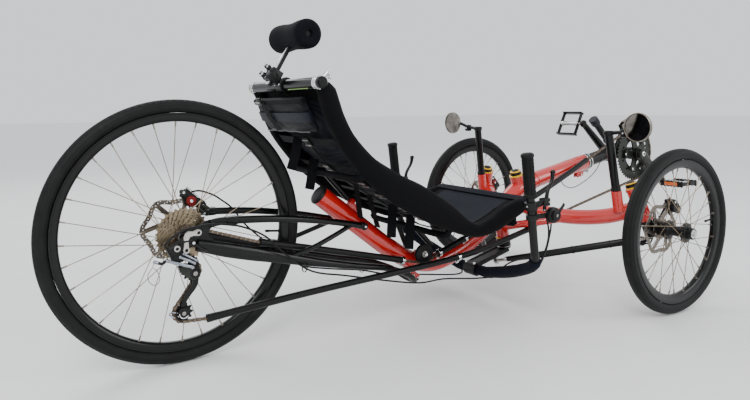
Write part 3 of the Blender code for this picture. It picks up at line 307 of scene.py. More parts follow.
NAVY_CLOTH = material("seat_navy", (0.0022, 0.0029, 0.0062), (0.0042, 0.0052, 0.0105), 0.8, sheen=0.02,
                      specular=0.12, grain=40, bump=0.35, weave=(SEAT_SLOPE, 0.0011, (0.002, 0.0024, 0.004)))
WEBBING = material("webbing", (0.0014, 0.0015, 0.002), (0.0032, 0.0034, 0.0042), 0.75, sheen=0.015,
                   specular=0.12, grain=60, bump=0.6, weave=(0.9, 0.0018, (0.003, 0.0031, 0.0038)))
PIPING = material("piping", (0.0012, 0.0013, 0.0017), (0.0028, 0.003, 0.0038), 0.7, specular=0.1, grain=80,
                  bump=0.2)
POCKET_CLOTH = material("pocket_nylon", (0.0012, 0.0016, 0.0026), (0.0028, 0.0035, 0.0054), 0.5,
                        specular=0.14, grain=45, bump=0.5, weave=(0.9, 0.0016, (0.0014, 0.0017, 0.0026)))
POCKET_BAND = material("pocket_band", (0.005, 0.007, 0.012), (0.009, 0.012, 0.019), 0.55, specular=0.2,
                       grain=60, bump=0.4, weave=(0.9, 0.0016, (0.004, 0.005, 0.007)))
REFLECTIVE = material("reflective_piping", grey(0.05), grey(0.13), 0.45, specular=0.4, grain=160, bump=0.2)
DARK_GREY = material("dark_grey_plastic", (0.008, 0.0095, 0.014), (0.014, 0.0165, 0.023), 0.45, specular=0.25,
                     grain=90, bump=0.15, bump_scale=1200)
LINK = material("polished_link", (0.2, 0.22, 0.26), (0.42, 0.45, 0.5), 0.22, metallic=1, grain=150,
                spread=0.1)
PLATE = material("white_alloy", (0.42, 0.4, 0.37), (0.58, 0.56, 0.52), 0.34, metallic=0.7, grain=90,
                 bump=0.05)


# Shapes -----------------------------------------------------------------------


def frame_at(origin, axis, spin=0.0):
    turn = Z.rotation_difference(Vector(axis)).to_matrix().to_4x4()
    return Matrix.Translation(Vector(origin)) @ turn @ Matrix.Rotation(spin, 4, "Z")


def smooth(points, steps=6, closed=False):
    """Points along a Catmull-Rom curve through the given ones."""
    pts = [Vector(p) for p in points]
    if closed:
        pts = [pts[-1]] + pts + pts[:2]
    else:
        pts = [2 * pts[0] - pts[1]] + pts + [2 * pts[-1] - pts[-2]]
    path = []
    for a, b, c, d in zip(pts, pts[1:], pts[2:], pts[3:]):
        for step in range(steps):
            t = step / steps
            path.append(0.5 * (2 * b + (c - a) * t + (2 * a - 5 * b + 4 * c - d) * t**2
                               + (3 * b - 3 * c + d - a) * t**3))
    return path if closed else path + [pts[-2]]


def arc(centre, radius, start, end, count, across=X, upward=Z):
    """Points on an arc, angles in degrees from across towards upward."""
    points = []
    for i in range(count):
        a = radians(start + (end - start) * i / (count - 1))
        points.append(Vector(centre) + (across * cos(a) + upward * sin(a)) * radius)
    return points


def turns(count, offset=0.0):
    """Evenly spaced angles round a full turn."""
    return [TAU * (i + offset) / count for i in range(count)]


def polar(radius, angle, *height):
    return radius * cos(angle), radius * sin(angle), *height


def circle(radius, count, centre=(0, 0)):
    return [(centre[0] + radius * cos(a), centre[1] + radius * sin(a)) for a in turns(count)]


def oval(wide, high, count):
    return [(wide * cos(a), high * sin(a)) for a in turns(count)]


def about_y(angle):
    return Vector((cos(angle), 0, sin(angle)))


def swell(value, power):
    """A power of a sine or cosine that keeps its sign, for rounded boxes."""
    return copysign(abs(value) ** power, value)


class Shape:
    """Closed shells, each with a material, that become one piece."""

    def __init__(self):
        self.verts, self.faces, self.used, self.slots = [], [], [], []

    def add(self, verts, faces, finish, matrix=None):
        start = len(self.verts)
        self.verts += [matrix @ Vector(v) if matrix else Vector(v) for v in verts]
        self.faces += [[start + i for i in face] for face in faces]
        if finish not in self.used:
            self.used.append(finish)
        self.slots += [self.used.index(finish)] * len(faces)
        return self

    def sweep(self, points, section, finish, up=None, closed=False, scales=None):
        """A section of (across, height) pairs carried along the points."""
        points = [Vector(p) for p in points]
        count = len(points)
        rings = []
        across = None
        for i, point in enumerate(points):
            before = points[i - 1] if i or closed else points[0]
            after = points[(i + 1) % count] if i < count - 1 or closed else points[-1]
            along = (after - before).normalized()
            if up is not None:
                across = along.cross(Vector(up)).normalized()
            elif across is None:
                across = along.orthogonal().normalized()
            else:
                across = (across - along * across.dot(along)).normalized()
            top = across.cross(along)
            size = scales[i] if scales else 1.0
            wide, high = size if isinstance(size, tuple) else (size, size)
            rings.append([point + across * u * wide + top * v * high for u, v in section])
        return self.loft(rings, finish, closed=closed)

    def tube(self, points, radius, finish, sides=24, closed=False, scales=None):
        return self.sweep(points, circle(radius, sides), finish, None, closed, scales)

    def rod(self, start, end, radius, finish, sides=24, soft=0.12):
        """A straight rod with eased ends."""
        start, end = Vector(start), Vector(end)
        ease = min(radius * soft, (end - start).length * 0.2)
        along = (end - start).normalized() * ease
        points = [start, start + along, end - along, end]
        tip = 1 - ease / radius
        return self.tube(points, radius, finish, sides, scales=[tip, 1, 1, tip])

    def lathe(self, profile, origin, axis, finish, steps=48, closed=False, matrix=None):
        """A turned shell from (radius, height) pairs; a closed profile leaves a hole through it."""
        matrix = matrix or frame_at(origin, axis)
        rows, verts = [], []
        for radius, height in profile:
            if radius < 1e-6:
                rows.append([len(verts)] * steps)
                verts.append((0, 0, height))
            else:
                rows.append(list(range(len(verts), len(verts) + steps)))
                verts += [(u, v, height) for u, v in circle(radius, steps)]
        faces = []
        pairs = list(zip(rows, rows[1:])) + ([(rows[-1], rows[0])] if closed else [])
        for low, high in pairs:
            for k in range(steps):
                n = (k + 1) % steps
                face = [low[k], low[n], high[n], high[k]]
                faces.append([v for i, v in enumerate(face) if v != face[i - 1]])
        return self.add(verts, faces, finish, matrix)

    def loft(self, rows, finish, matrix=None, closed=False):
        """A shell over rings of points: either the last ring meets the first, or both ends are capped."""
        count, around = len(rows), len(rows[0])
        faces = []
        for i in range(count if closed else count - 1):
            a, b = i * around, (i + 1) % count * around
            faces += [[a + j, a + (j + 1) % around, b + (j + 1) % around, b + j] for j in range(around)]
        if not closed:
            faces += [list(range(around)), [(count - 1) * around + j for j in range(around)]]
        return self.add([v for row in rows for v in row], faces, finish, matrix)

    def disc(self, radius, low, high, origin, axis, finish, steps=48):
        return self.lathe([(0, low), (radius, low), (radius, high), (0, high)], origin, axis, finish, steps)

    def pin(self, centre, reach, radius, finish, sides=24, soft=0.12):
        """A rod that reaches as far on both sides of its centre."""
        return self.rod(centre - reach, centre + reach, radius, finish, sides, soft)

    def ring(self, origin, axis, radius, thick, finish, steps=48, sides=12):
        profile = [(radius + u, v) for u, v in circle(thick, sides)]
        return self.lathe(profile, origin, axis, finish, steps, closed=True)

    def collar(self, origin, axis, inner, outer, width, finish, steps=40, ease=0.0008):
        half = width / 2
        profile = [(inner, -half), (outer - ease, -half), (outer, ease - half), (outer, half - ease)]
        profile += [(outer - ease, half), (inner, half)]
        return self.lathe(profile, origin, axis, finish, steps, closed=True)

    def block(self, centre, size, finish, direction=X, up=Z, ease=0.0015, segments=2):
        along = Vector(direction).normalized()
        side = Vector(up).cross(along).normalized()
        turn = Matrix((along, side, along.cross(side))).transposed().to_4x4()
        bm = bmesh.new()
        bmesh.ops.create_cube(bm, size=1)
        bmesh.ops.scale(bm, vec=size, verts=bm.verts)
        ease = min(ease, min(size) * 0.45)
        bmesh.ops.bevel(bm, geom=bm.edges, offset=ease, segments=segments, affect="EDGES", profile=0.5)
        bm.verts.index_update()
        verts = [v.co.copy() for v in bm.verts]
        faces = [[v.index for v in f.verts] for f in bm.faces]
        bm.free()
        return self.add(verts, faces, finish, Matrix.Translation(Vector(centre)) @ turn)

    def plate(self, outline, thickness, origin, normal, finish, holes=(), spin=0.0, ease=0.0):
        curve = bpy.data.curves.new("plate", "CURVE")
        curve.dimensions = "2D"
        curve.fill_mode = "BOTH"
        curve.extrude = thickness / 2 - ease
        curve.bevel_depth = ease
        curve.bevel_resolution = 0
        curve.offset = -ease
        for loop in (outline, *holes):
            spline = curve.splines.new("POLY")
            spline.points.add(len(loop) - 1)
            for target, (u, v) in zip(spline.points, loop):
                target.co = (u, v, 0, 1)
            spline.use_cyclic_u = True
        obj = bpy.data.objects.new("plate", curve)
        bpy.context.scene.collection.objects.link(obj)
        mesh = bpy.data.meshes.new_from_object(obj.evaluated_get(bpy.context.evaluated_depsgraph_get()))
        bm = bmesh.new()
        bm.from_mesh(mesh)
        bmesh.ops.remove_doubles(bm, verts=bm.verts, dist=0.00001)
        bm.verts.index_update()
        verts = [v.co.copy() for v in bm.verts]
        faces = [[v.index for v in f.verts] for f in bm.faces]
        bm.free()
        bpy.data.objects.remove(obj, do_unlink=True)
        bpy.data.curves.remove(curve)
        bpy.data.meshes.remove(mesh)
        return self.add(verts, faces, finish, frame_at(origin, normal, spin))

    def bolt(self, origin, axis, finish, radius=0.004, height=0.003):
        """A domed bolt head with a round socket."""
        axis = Vector(axis).normalized()
        outer = [(0, -0.001), (radius, -0.001), (radius, height * 0.6), (radius * 0.8, height),
                 (radius * 0.5, height)]
        outer += [(radius * 0.5, height * 0.4), (0, height * 0.4)]
        return self.lathe(outer, origin, axis, finish, 18)

    def make(self, name, body, slot=None, replaces=(), sharp=38):
        mesh = bpy.data.meshes.new(name)
        mesh.from_pydata([tuple(v) for v in self.verts], [], self.faces)
        for finish in self.used:
            mesh.materials.append(finish)
        mesh.polygons.foreach_set("material_index", self.slots)
        bm = bmesh.new()
        bm.from_mesh(mesh)
        bmesh.ops.recalc_face_normals(bm, faces=bm.faces)
        bm.to_mesh(mesh)
        bm.free()
        mesh.shade_smooth()
        mesh.set_sharp_from_angle(angle=radians(sharp))
        obj = bpy.data.objects.new(name, mesh)
        bpy.context.scene.collection.objects.link(obj)
        if body:
            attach(obj, body)
        if replaces:
            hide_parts(*([replaces] if isinstance(replaces, str) else replaces))
        return obj


def gear_outline(radius, teeth, tip, root):
    """Rounded sprocket teeth about a pitch radius."""
    tooth = ((-0.5, -root), (-0.34, -root * 0.86), (-0.13, tip * 0.9), (0, tip), (0.13, tip * 0.9),
             (0.34, -root * 0.86))
    return [polar(radius + lift, TAU * (i + share) / teeth) for i in range(teeth) for share, lift in tooth]


def windows(count, outer, inner, half_outer, half_inner, skew=0.0):
    """Openings between the spokes of a disc, with cut corners."""
    steps = 6
    loops = []
    for middle in turns(count):
        loop = [(outer, middle + half_outer * (2 * k / steps - 1)) for k in range(steps + 1)]
        loop += [(inner, middle + skew - half_inner * (2 * k / steps - 1)) for k in range(steps + 1)]
        pts = [Vector(polar(r, a, 0)) for r, a in loop]
        eased = []
        for j, p in enumerate(pts):
            before, after = pts[j - 1], pts[(j + 1) % len(pts)]
            if (p - before).normalized().dot((after - p).normalized()) < 0.8:
                start, end = p.lerp(before, 0.25), p.lerp(after, 0.25)
                eased += [start, p.lerp(start.lerp(end, 0.5), 0.5), end]
            else:
                eased.append(p)
        loops.append([(p.x, p.y) for p in eased])
    return loops


def ribbon(shape, points, width, thickness, finish, up):
    """A flat strap, its width lying across its run and square to up."""
    w, t = width / 2, thickness / 2
    section = [(-w, -t), (-w + t, -t), (w - t, -t), (w, -t), (w, t), (w - t, t), (-w + t, t), (-w, t)]
    return shape.sweep(points, section, finish, up)


# Wheels -----------------------------------------------------------------------

TREAD_SEGMENTS = 480
SPOKES_A_SIDE, SPOKE_STAGGER = 16, 0.0026
ROTOR_RADIUS, CALIPER_REACH = 0.0796, 0.0815


def tyre_piece(name, body, centre, axis, radius, node):
    """A slick tyre: two grooves and fine sipes on the crown, ribs on the sidewall."""
    height, half = 0.0165, 0.0185
    angles = [-152, -140, -128, -118, -112, -107, -100, -90, -78, -72, -66, -54, -44, -38, -34, -30, -24, -16,
              -8]
    angles += [0] + [-a for a in angles[::-1]]
    rows = []
    for seg, turn in enumerate(turns(TREAD_SEGMENTS)):
        row = []
        for a in angles:
            lift = -0.0011 if abs(a) == 34 else 0.0006 if abs(a) in (107, 72) else 0.0
            if abs(a) in (16, 24, 44) and (seg + abs(a) // 8) % 4 == 0:
                lift = -0.0007
            phi = radians(a)
            r = radius - height + (height + lift) * cos(phi)
            row.append(polar(r, turn, (half + lift) * sin(phi)))
        rows.append(row)
    shape = Shape().loft(rows, TYRE, frame_at(centre, axis), closed=True)
    return shape.make(name, body, "tyre", node, sharp=50)


def rim_profile(outer, inner):
    half = [(outer, 0.0105), (outer, 0.0125), (outer - 0.004, 0.0129), (outer - 0.0045, 0.0122),
            (inner + 0.01, 0.0112)]
    half += [(inner + 0.004, 0.009), (inner + 0.001, 0.006), (inner, 0.0025)]
    well = [(outer - 0.006, 0.009), (outer - 0.0085, 0.004)]
    return well[::-1] + half + [(r, -h) for r, h in half[::-1] + well]


def rim_piece(name, body, centre, axis, radius, depth, replaces):
    outer, inner = radius - 0.0315, radius - depth
    shape = Shape().lathe(rim_profile(outer, inner), centre, axis, BLACK, 144, closed=True)
    place = frame_at(centre, axis).to_3x3()
    eyelet = mm2(2.2, 1, 4, 1, 3.6, -0.5, 2.2, -0.5)
    for k, a in enumerate(turns(2 * SPOKES_A_SIDE)):
        out = place @ Vector((cos(a), sin(a), 0))
        point = Vector(centre) + out * (inner + 0.0002) + Vector(axis) * SPOKE_STAGGER * (1 if k % 2 else -1)
        shape.lathe(eyelet, point, out, ROTOR, 12, closed=True)
    a = TAU * 0.5 / (2 * SPOKES_A_SIDE)
    out = place @ Vector((cos(a), sin(a), 0))
    stem = mm2(0, 2, 4.2, 2, 4.2, -2, 3, -3, 3, -30, 3.6, -31, 3.6, -38, 2.6, -40, 0, -40)
    shape.lathe(stem, Vector(centre) + out * (inner + 0.001), out, PLASTIC, 16)
    return shape.make(name, body, "rim_black", replaces)


def spoke_piece(name, body, centre, axis, flanges, flange_radius, rim_inner, crosses):
    """Laced spokes with elbows at the hub and nipples at the rim."""
    shape = Shape()
    place = frame_at(centre, axis)
    step = TAU / SPOKES_A_SIDE
    reach = rim_inner + 0.001
    for index, height in enumerate(flanges):
        rim_height = SPOKE_STAGGER * (1 if height > 0 else -1)
        for i in range(SPOKES_A_SIDE):
            hub_angle = step * (i + 0.5 * index)
            way = 1 if i % 2 else -1
            rim_angle = hub_angle + way * crosses * step
            hole = Vector(polar(flange_radius, hub_angle, height))
            elbow, head = hole + Z * 0.0024 * way, hole - Z * 0.003 * way
            nipple = Vector(polar(reach, rim_angle, rim_height))
            run = (nipple - elbow).normalized()
            line = [head, hole, elbow + run * 0.0008, elbow + run * 0.003, elbow.lerp(nipple, 0.5), nipple]
            shape.tube([place @ p for p in line], 0.001, SPOKE, 8)
            shape.rod(place @ head, place @ (head + Z * 0.0014 * way), 0.002, SPOKE, 8)
            line = [nipple + run * 0.002, nipple - run * 0.003, nipple - run * 0.013]
            shape.tube([place @ p for p in line], 0.0021, ROTOR, 8, scales=[1.1, 1, 0.85])
    return shape.make(name, body, "steel")


def rotor_edge(angle):
    """The waved, six-sided outline of a rotor."""
    dip = 0.5 - 0.5 * cos(6 * angle)
    return ROTOR_RADIUS - 0.0088 * dip + 0.0005 * cos(36 * angle)


def rotor_piece(name, body, centre, axis, node):
    """A drilled rotor: a thin six-sided band on swept arms round a bolted carrier."""
    holes = [circle(0.021, 32)]
    for middle in turns(6, 0.5):
        angles = [middle + 0.435 * (k / 6 - 1) for k in range(13)]
        loop = [polar(rotor_edge(a) - 0.0118, a) for a in angles]
        holes.append(loop + [polar(0.0335, middle + 0.34 - 0.3 * (k / 4 - 1)) for k in range(9)])
    for i, a in enumerate(turns(60, 0.5)):
        holes.append(circle(0.0013, 8, polar(rotor_edge(a) - 0.0058 + 0.0026 * (i % 3 - 1), a)))
    outline = [polar(rotor_edge(a), a) for a in turns(216)]
    shape = Shape().plate(outline, 0.0019, centre, axis, ROTOR, holes, ease=0.0002)
    place = frame_at(centre, axis)
    for a in turns(6, 0.5):
        shape.bolt(place @ Vector(polar(0.0272, a, 0.0009)), axis, STEEL, 0.0034, 0.002)
    shape.collar(Vector(centre) - Vector(axis) * 0.002, axis, 0.0215, 0.0325, 0.0022, SATIN, 48, 0.0004)
    return shape.make(name, body, "rotor", node)


def caliper_piece(name, body, disc_centre, radial, axis, lateral, node, stretch=1.0):
    """A cable-pulled disc caliper; its knob faces along axis, and stretch is how long it is drawn."""
    out = Vector(radial).normalized()
    tangent = Y.cross(out)
    centre = Vector(disc_centre) + out * CALIPER_REACH
    half = lateral / 2
    shape = Shape()

    def at(along, lift, across):
        return centre + tangent * along * stretch + out * lift + axis * across

    for way in (1, -1):
        shape.rod(at(-0.002, 0, way * 0.0028), at(-0.002, 0, way * (half - 0.0012)), 0.0165, SATIN, 36, 0.12)
        size = (0.022, 0.044 * stretch, half - 0.003)
        shape.block(at(0.002, 0.004, way * (half + 0.0022) / 2), size, SATIN, out, axis, 0.004, 3)
        for shift in (-0.0195, 0.02):
            shape.rod(at(shift, 0.006, way * 0.003), at(shift, 0.006, way * (half - 0.0014)), 0.0062, SATIN,
                      24, 0.2)
            shape.bolt(at(shift, 0.006, way * (half - 0.0018)), axis * way, CHROME, 0.0036, 0.0022)
    shape.block(at(0.001, 0.0135, 0), (0.0075, 0.04 * stretch, lateral * 0.72), SATIN, out, axis, 0.002, 3)
    shape.block(at(0.012, 0.0115, half * 0.35), (0.007, 0.018 * stretch, lateral * 0.42), COPPER, out, axis,
                0.002, 3)
    seat = at(-0.002, -0.001, half - 0.0016)
    knob = mm2(0, 0, 12.2, 0, 12.8, 1, 12.6, 4.4, 11.2, 5.8, 6, 6.2, 0, 6.2)
    shape.lathe(knob, seat, axis, DARK_RED, 40)
    for a in turns(12):
        rib = seat + (tangent * cos(a) + out * sin(a)) * 0.0124
        shape.rod(rib + axis * 0.0012, rib + axis * 0.0046, 0.0011, DARK_RED, 8)
    shape.bolt(seat + axis * 0.006, axis, CHROME, 0.004, 0.0016)
    for lift, reach in ((0.0055, 0.033), (-0.0075, 0.032)):
        line = [at(0.014, lift * 0.7, half - 0.006), at(0.022, lift, half - 0.0045),
                at(reach, lift * 1.1, half - 0.005)]
        shape.tube(smooth(line, 4), 0.0056, OLIVE, 20, scales=[0.85, 0.95, 1, 1, 1.05, 1.08, 1.08, 1.0, 0.7])
        shape.bolt(at(reach - 0.004, lift * 1.1, half - 0.0004), axis, CHROME, 0.0028, 0.0014)
    shape.rod(at(0.006, 0.015, half * 0.5), at(-0.02, 0.0205, half * 0.5), 0.0034, ALLOY, 18)
    return shape.make(name, body, "black_alloy", node)


def front_wheel(label, side):
    body = "front_wheel_" + label
    centre = Vector((WHEELBASE, side * HALF_TRACK, FRONT_RADIUS))
    outward = Y * side
    depth = 0.0565
    tyre_piece("tyre_" + label, body, centre, outward, FRONT_RADIUS, "front_tyre_" + label)
    rim_piece("rim_" + label, body, centre, outward, FRONT_RADIUS, depth, "front_wheel_" + label)
    spoke_piece("spokes_" + label, body, centre, outward, (-0.025, 0.027), 0.0245, FRONT_RADIUS - depth, 2)
    hub = Shape()
    shell = mm2(9.5, 48, 15, 48, 16.5, 46.5, 16.5, 33, 18.5, 30.5, 28.8, 28.5, 29, 25.5, 18, 22.5, 15, 17, 15,
                -16, 18, -20.5, 28.8, -23.5, 29, -26.5, 21.5, -30, 20.5, -33, 20.5, -52, 9.5, -52)
    hub.lathe(shell, centre, outward, SATIN, 56, closed=True)
    cap = mm2(0, 54.5, 6, 54.5, 6.8, 53.5, 6.8, 49, 12.5, 48.5, 12.5, 47, 0, 47)
    hub.lathe(cap, centre, outward, ALLOY, 32)
    place = frame_at(centre, outward)
    for a in turns(3):
        foot = place @ Vector(polar(0.0075, a + 0.5, 0.04))
        hub.rod(foot, foot + outward * 0.0085, 0.0095, PLASTIC, 28)
    hub.make("hub_" + label, body, "black_alloy")
    rotor_piece("rotor_" + label, body, centre - outward * 0.05, outward, "front_disc_" + label)


def rear_wheel():
    body = "rear_wheel_assembly"
    depth = 0.0525
    tyre_piece("tyre_rear", body, REAR_AXLE, Y, REAR_RADIUS, "rear_tyre")
    rim_piece("rim_rear", body, REAR_AXLE, Y, REAR_RADIUS, depth, "rear_wheel")
    spoke_piece("spokes_rear", body, REAR_AXLE, Y, (-0.027, 0.033), 0.0265, REAR_RADIUS - depth, 3)
    shell = mm2(6.8, 64, 16.5, 64, 17.5, 62, 20.5, 59, 20.5, 43, 22, 39, 30, 35, 30.2, 31.5, 19, 27, 16.5, 20,
                16.5, -14, 19, -21, 30.2, -25.5, 30, -29, 16.8, -31.5, 16.5, -66.5, 6.8, -66.5)
    Shape().lathe(shell, REAR_AXLE, Y, SATIN, 56, closed=True).make("hub_rear", body, "black_alloy")
    rotor_piece("rotor_rear", body, REAR_DISC, Y, "rear_disc")


# Frame ------------------------------------------------------------------------

MAIN_TUBE = mm3(385, 0, 376, 592, 0, 217, 690, 0, 157, 780, 0, 137, 865, 0, 157, 950, 0, 196, 1030, 0, 250,
                1090, 0, 299, 1150, 0, 338, 1226, 0, 360)
CENTRE_HEAD_LOW, CENTRE_HEAD_TOP = mm(1148, 0, 335), mm(1133.5, 0, 379)
CROSS = mm3(1134, 0, 290, 1165, 65, 266, 1220, 160, 256, 1270, 250, 268, 1313.5, 322.5, 300)


def headset(shape, origin, axis, radius=0.0215):
    """A gold headset cup, a dark seal, a thin gold ring and a domed dark cap."""
    cap = mm2(0, 21.5, 8.5, 21.2, 12.2, 19.6, 12.6, 15, 0, 15)
    ring = mm2(0, 18.6, 15.2, 18.6, 16.8, 17.4, 17, 15, 0, 15)
    seal = mm2(0, 15.2, 17.2, 15.2, 18, 14.2, 18, 5.4, 0, 5.4)
    cup = [(0, 0.0056), (radius - 0.001, 0.0056), (radius + 0.001, 0.0044), (radius + 0.001, 0.0004),
           (0, 0.0004)]
    for profile, finish in ((cap, PLASTIC), (ring, GOLD), (seal, PLASTIC), (cup, GOLD)):
        shape.lathe(profile, origin, axis, finish, 48)


def main_frame():
    start, second = Vector(MAIN_TUBE[0]), Vector(MAIN_TUBE[1])
    path = [start, start.lerp(second, 0.5)] + smooth(MAIN_TUBE[1:], 6)
    path += [boom_at(1.3), boom_at(1.4), boom_at(SLEEVE_END)]
    shape = Shape().tube(path, 0.0275, RED, 48)
    shape.tube(smooth(CROSS[:0:-1] + line_on_side(CROSS, -1), 8), 0.0235, RED, 40)
    shape.rod(CENTRE_HEAD_LOW, CENTRE_HEAD_TOP, 0.0215, RED, 40, 0.03)
    shape.rod(STEER_POINT - STEER_AXIS * 0.026, STEER_POINT + STEER_AXIS * 0.05, 0.0208, RED, 40, 0.03)
    shape.block((0.4935, 0, 0.3385), (0.036, 0.021, 0.03), RED, (0.793, 0, -0.609), ease=0.007, segments=3)
    seat_pin = mm(498.5, 0, 346)
    shape.pin(seat_pin, Y * 0.0135, 0.0052, CHROME, 20)
    for way in (1, -1):
        shape.bolt(seat_pin + Y * way * 0.0122, Y * way, CHROME, 0.0075, 0.004)
    slot = boom_at(1.44)
    for way in (1, -1):
        shape.block(slot - BOOM_UP * 0.033 + Y * way * 0.006, (0.034, 0.004, 0.024), RED, BOOM_DIRECTION,
                    ease=0.002)
    shape.pin(slot - BOOM_UP * 0.037, Y * 0.014, 0.0035, CHROME, 18)
    shape.rod((IDLER.x, -0.01, IDLER.z - 0.006), (IDLER.x, -0.0405, IDLER.z), 0.011, RED, 28)
    shape.rod((IDLER.x, -0.03, IDLER.z), (IDLER.x, -0.06, IDLER.z), 0.0048, CHROME, 20)
    shape.bolt((IDLER.x, -0.0592, IDLER.z), -Y, CHROME, 0.0052, 0.004)
    thin_brace = smooth(mm3(1068, 6, 214, 1105, 30, 222, 1150, 85, 236, 1195, 135, 250), 5)
    weld = Vector(CROSS[-1]) - mm(20, 33, 14.5)
    for _, side in SIDES:
        shape.rod(kingpin_at(side, 0.024), kingpin_at(side, 0.122), 0.021, RED, 40, 0.05)
        for along in (0.026, 0.12):
            shape.collar(kingpin_at(side, along), on_side(KINGPIN_AXIS, side), 0.015, 0.0228, 0.009, RED, 44)
        shape.rod(*[on_side(POST_FOOT - POST_AXIS * reach, side) for reach in (0.064, 0.0004)], 0.0155, RED,
                  32, 0.04)
        shape.tube(line_on_side(thin_brace, side), 0.0125, RED, 28)
        shape.ring(on_side(weld, side), on_side((0.52, 0.83, 0.38), side), 0.0238, 0.0016, RED)
    shape.tube(arc(boom_at(1.215), 0.0278, 0, 360, 40, Y, BOOM_UP)[:-1], 0.0012, RED, 10, closed=True)
    shape.make("frame_tubes", "frame", "red_paint", "main_frame")
    rings = Shape()
    headset(rings, CENTRE_HEAD_TOP, CENTRE_HEAD_TOP - CENTRE_HEAD_LOW)
    for _, side in SIDES:
        rings.collar(kingpin_at(side, 0.023), on_side(KINGPIN_AXIS, side), 0.0146, 0.0222, 0.0018, GOLD, 44,
                     0.0004)
    rings.collar(STEER_POINT - STEER_AXIS * 0.0262, STEER_AXIS, 0.015, 0.0234, 0.0036, GOLD, 44, 0.001)
    rings.make("headset_rings", "frame", "gold", "centre_head_cap")
    cap = mm2(0, 8.5, 12, 8.3, 20, 7.2, 26.2, 5, 28.5, 2.2, 28.8, 0.4, 0, 0.4)
    Shape().lathe(cap, start, start - second, PLASTIC, 56).make("end_plug", "frame", "plastic",
                                                                "tube_end_cap")


UPPER_STAY = mm3(20, 76.5, 336, 94, 76.5, 348, 220, 73, 339, 340, 62, 321, 448, 46, 298, 503, 39.5, 284)
CHAINSTAY = mm3(20, 76.5, 298, 100, 75.5, 275, 220, 70, 243, 347, 62, 209, 480, 53, 178, 576, 46, 157, 650,
                38, 128, 690, 22, 100, 700, 0, 95)


def rear_triangle():
    shape = Shape()
    lower = smooth(CHAINSTAY, 5)
    oval_scales = [(1.0, 1 + 0.95 * max(0.0, min(1.0, (0.46 - p.x) / 0.3)) ** 1.2 * min(1.0, 0.45 + p.x * 6))
                   for p in lower]
    stays = lower + line_on_side(lower[-2::-1], -1)
    shape.sweep(stays, circle(0.009, 28), BLACK, Z, scales=oval_scales + oval_scales[-2::-1])
    dropout = mm2(-13, -10, 6, -17, 26, -22, 40, -34, 62, -37, 70, -28, 52, -12, 50, 0, 62, 12, 60, 36, 40,
                  32, 20, 20, 2, 17, -12, 11)
    brace = smooth(mm3(262, 67.5, 236, 330, 66, 252, 400, 57, 274, 455, 47, 292.5), 3)
    for _, side in SIDES:
        out = Y * side
        upper = smooth(line_on_side([(0.052, 0.0765, 0.345), *UPPER_STAY[1:]], side), 5)
        shape.sweep(upper, circle(0.0084, 24), BLACK, Z, scales=[(1.0, 1.05 + 0.45 * max(0, 0.3 - p.x))
            for p in upper])
        shape.block(on_side((0.104, 0.0765, 0.3475), side), (0.03, 0.019, 0.021), BLACK, (1, 0, 0.02),
                    ease=0.003)
        shape.tube(line_on_side(brace, side), 0.0066, BLACK, 20)
        shape.plate(dropout, 0.006, REAR_AXLE + out * 0.0717, Y, SATIN, [circle(0.0063, 24)], ease=0.0008)
        boss, cap = on_side((0.501, 0.031, 0.285), side), on_side((0.501, 0.05, 0.285), side)
        shape.rod(boss, cap, 0.0105, BLACK, 28, 0.15)
        shape.bolt(cap + out * 0.0006, out, SATIN, 0.0078, 0.0026)
        shape.bolt(cap + out * 0.003, out, CHROME, 0.0034, 0.0012)
    shape.block((0.706, -0.004, 0.106), (0.032, 0.01, 0.024), RED, (0.8, 0, -0.6), ease=0.004, segments=3)
    for shift in (-0.008, 0.009):
        shape.bolt((0.706 + shift, -0.0085, 0.1055 - shift * 0.7), -Y, CHROME, 0.0046, 0.003)
    shape.block((0.7, 0, 0.0975), (0.022, 0.04, 0.006), SATIN, X, ease=0.002)
    shape.make("rear_stays", "frame", "black_paint", "rear_triangle")
    axle = Shape()
    body = mm2(0, 90.5, 5, 90, 9.8, 85, 10, 76, 6.8, 75.2, 5.8, 74.8, 5.8, -75.2, 8.8, -75.6, 9, -79, 6.6,
               -80.4, 0, -80.4)
    axle.lathe(body, REAR_AXLE, Y, STEEL, 28)
    blade = [REAR_AXLE + Vector(p) for p in mm3(0, 88, 0, 18, 89, -12, 40, 88, -30, 50, 86, -41)]
    ribbon(axle, smooth(blade, 4), 0.011, 0.004, ALLOY, Y)
    axle.make("skewer", "frame", "alloy", "rear_axle")


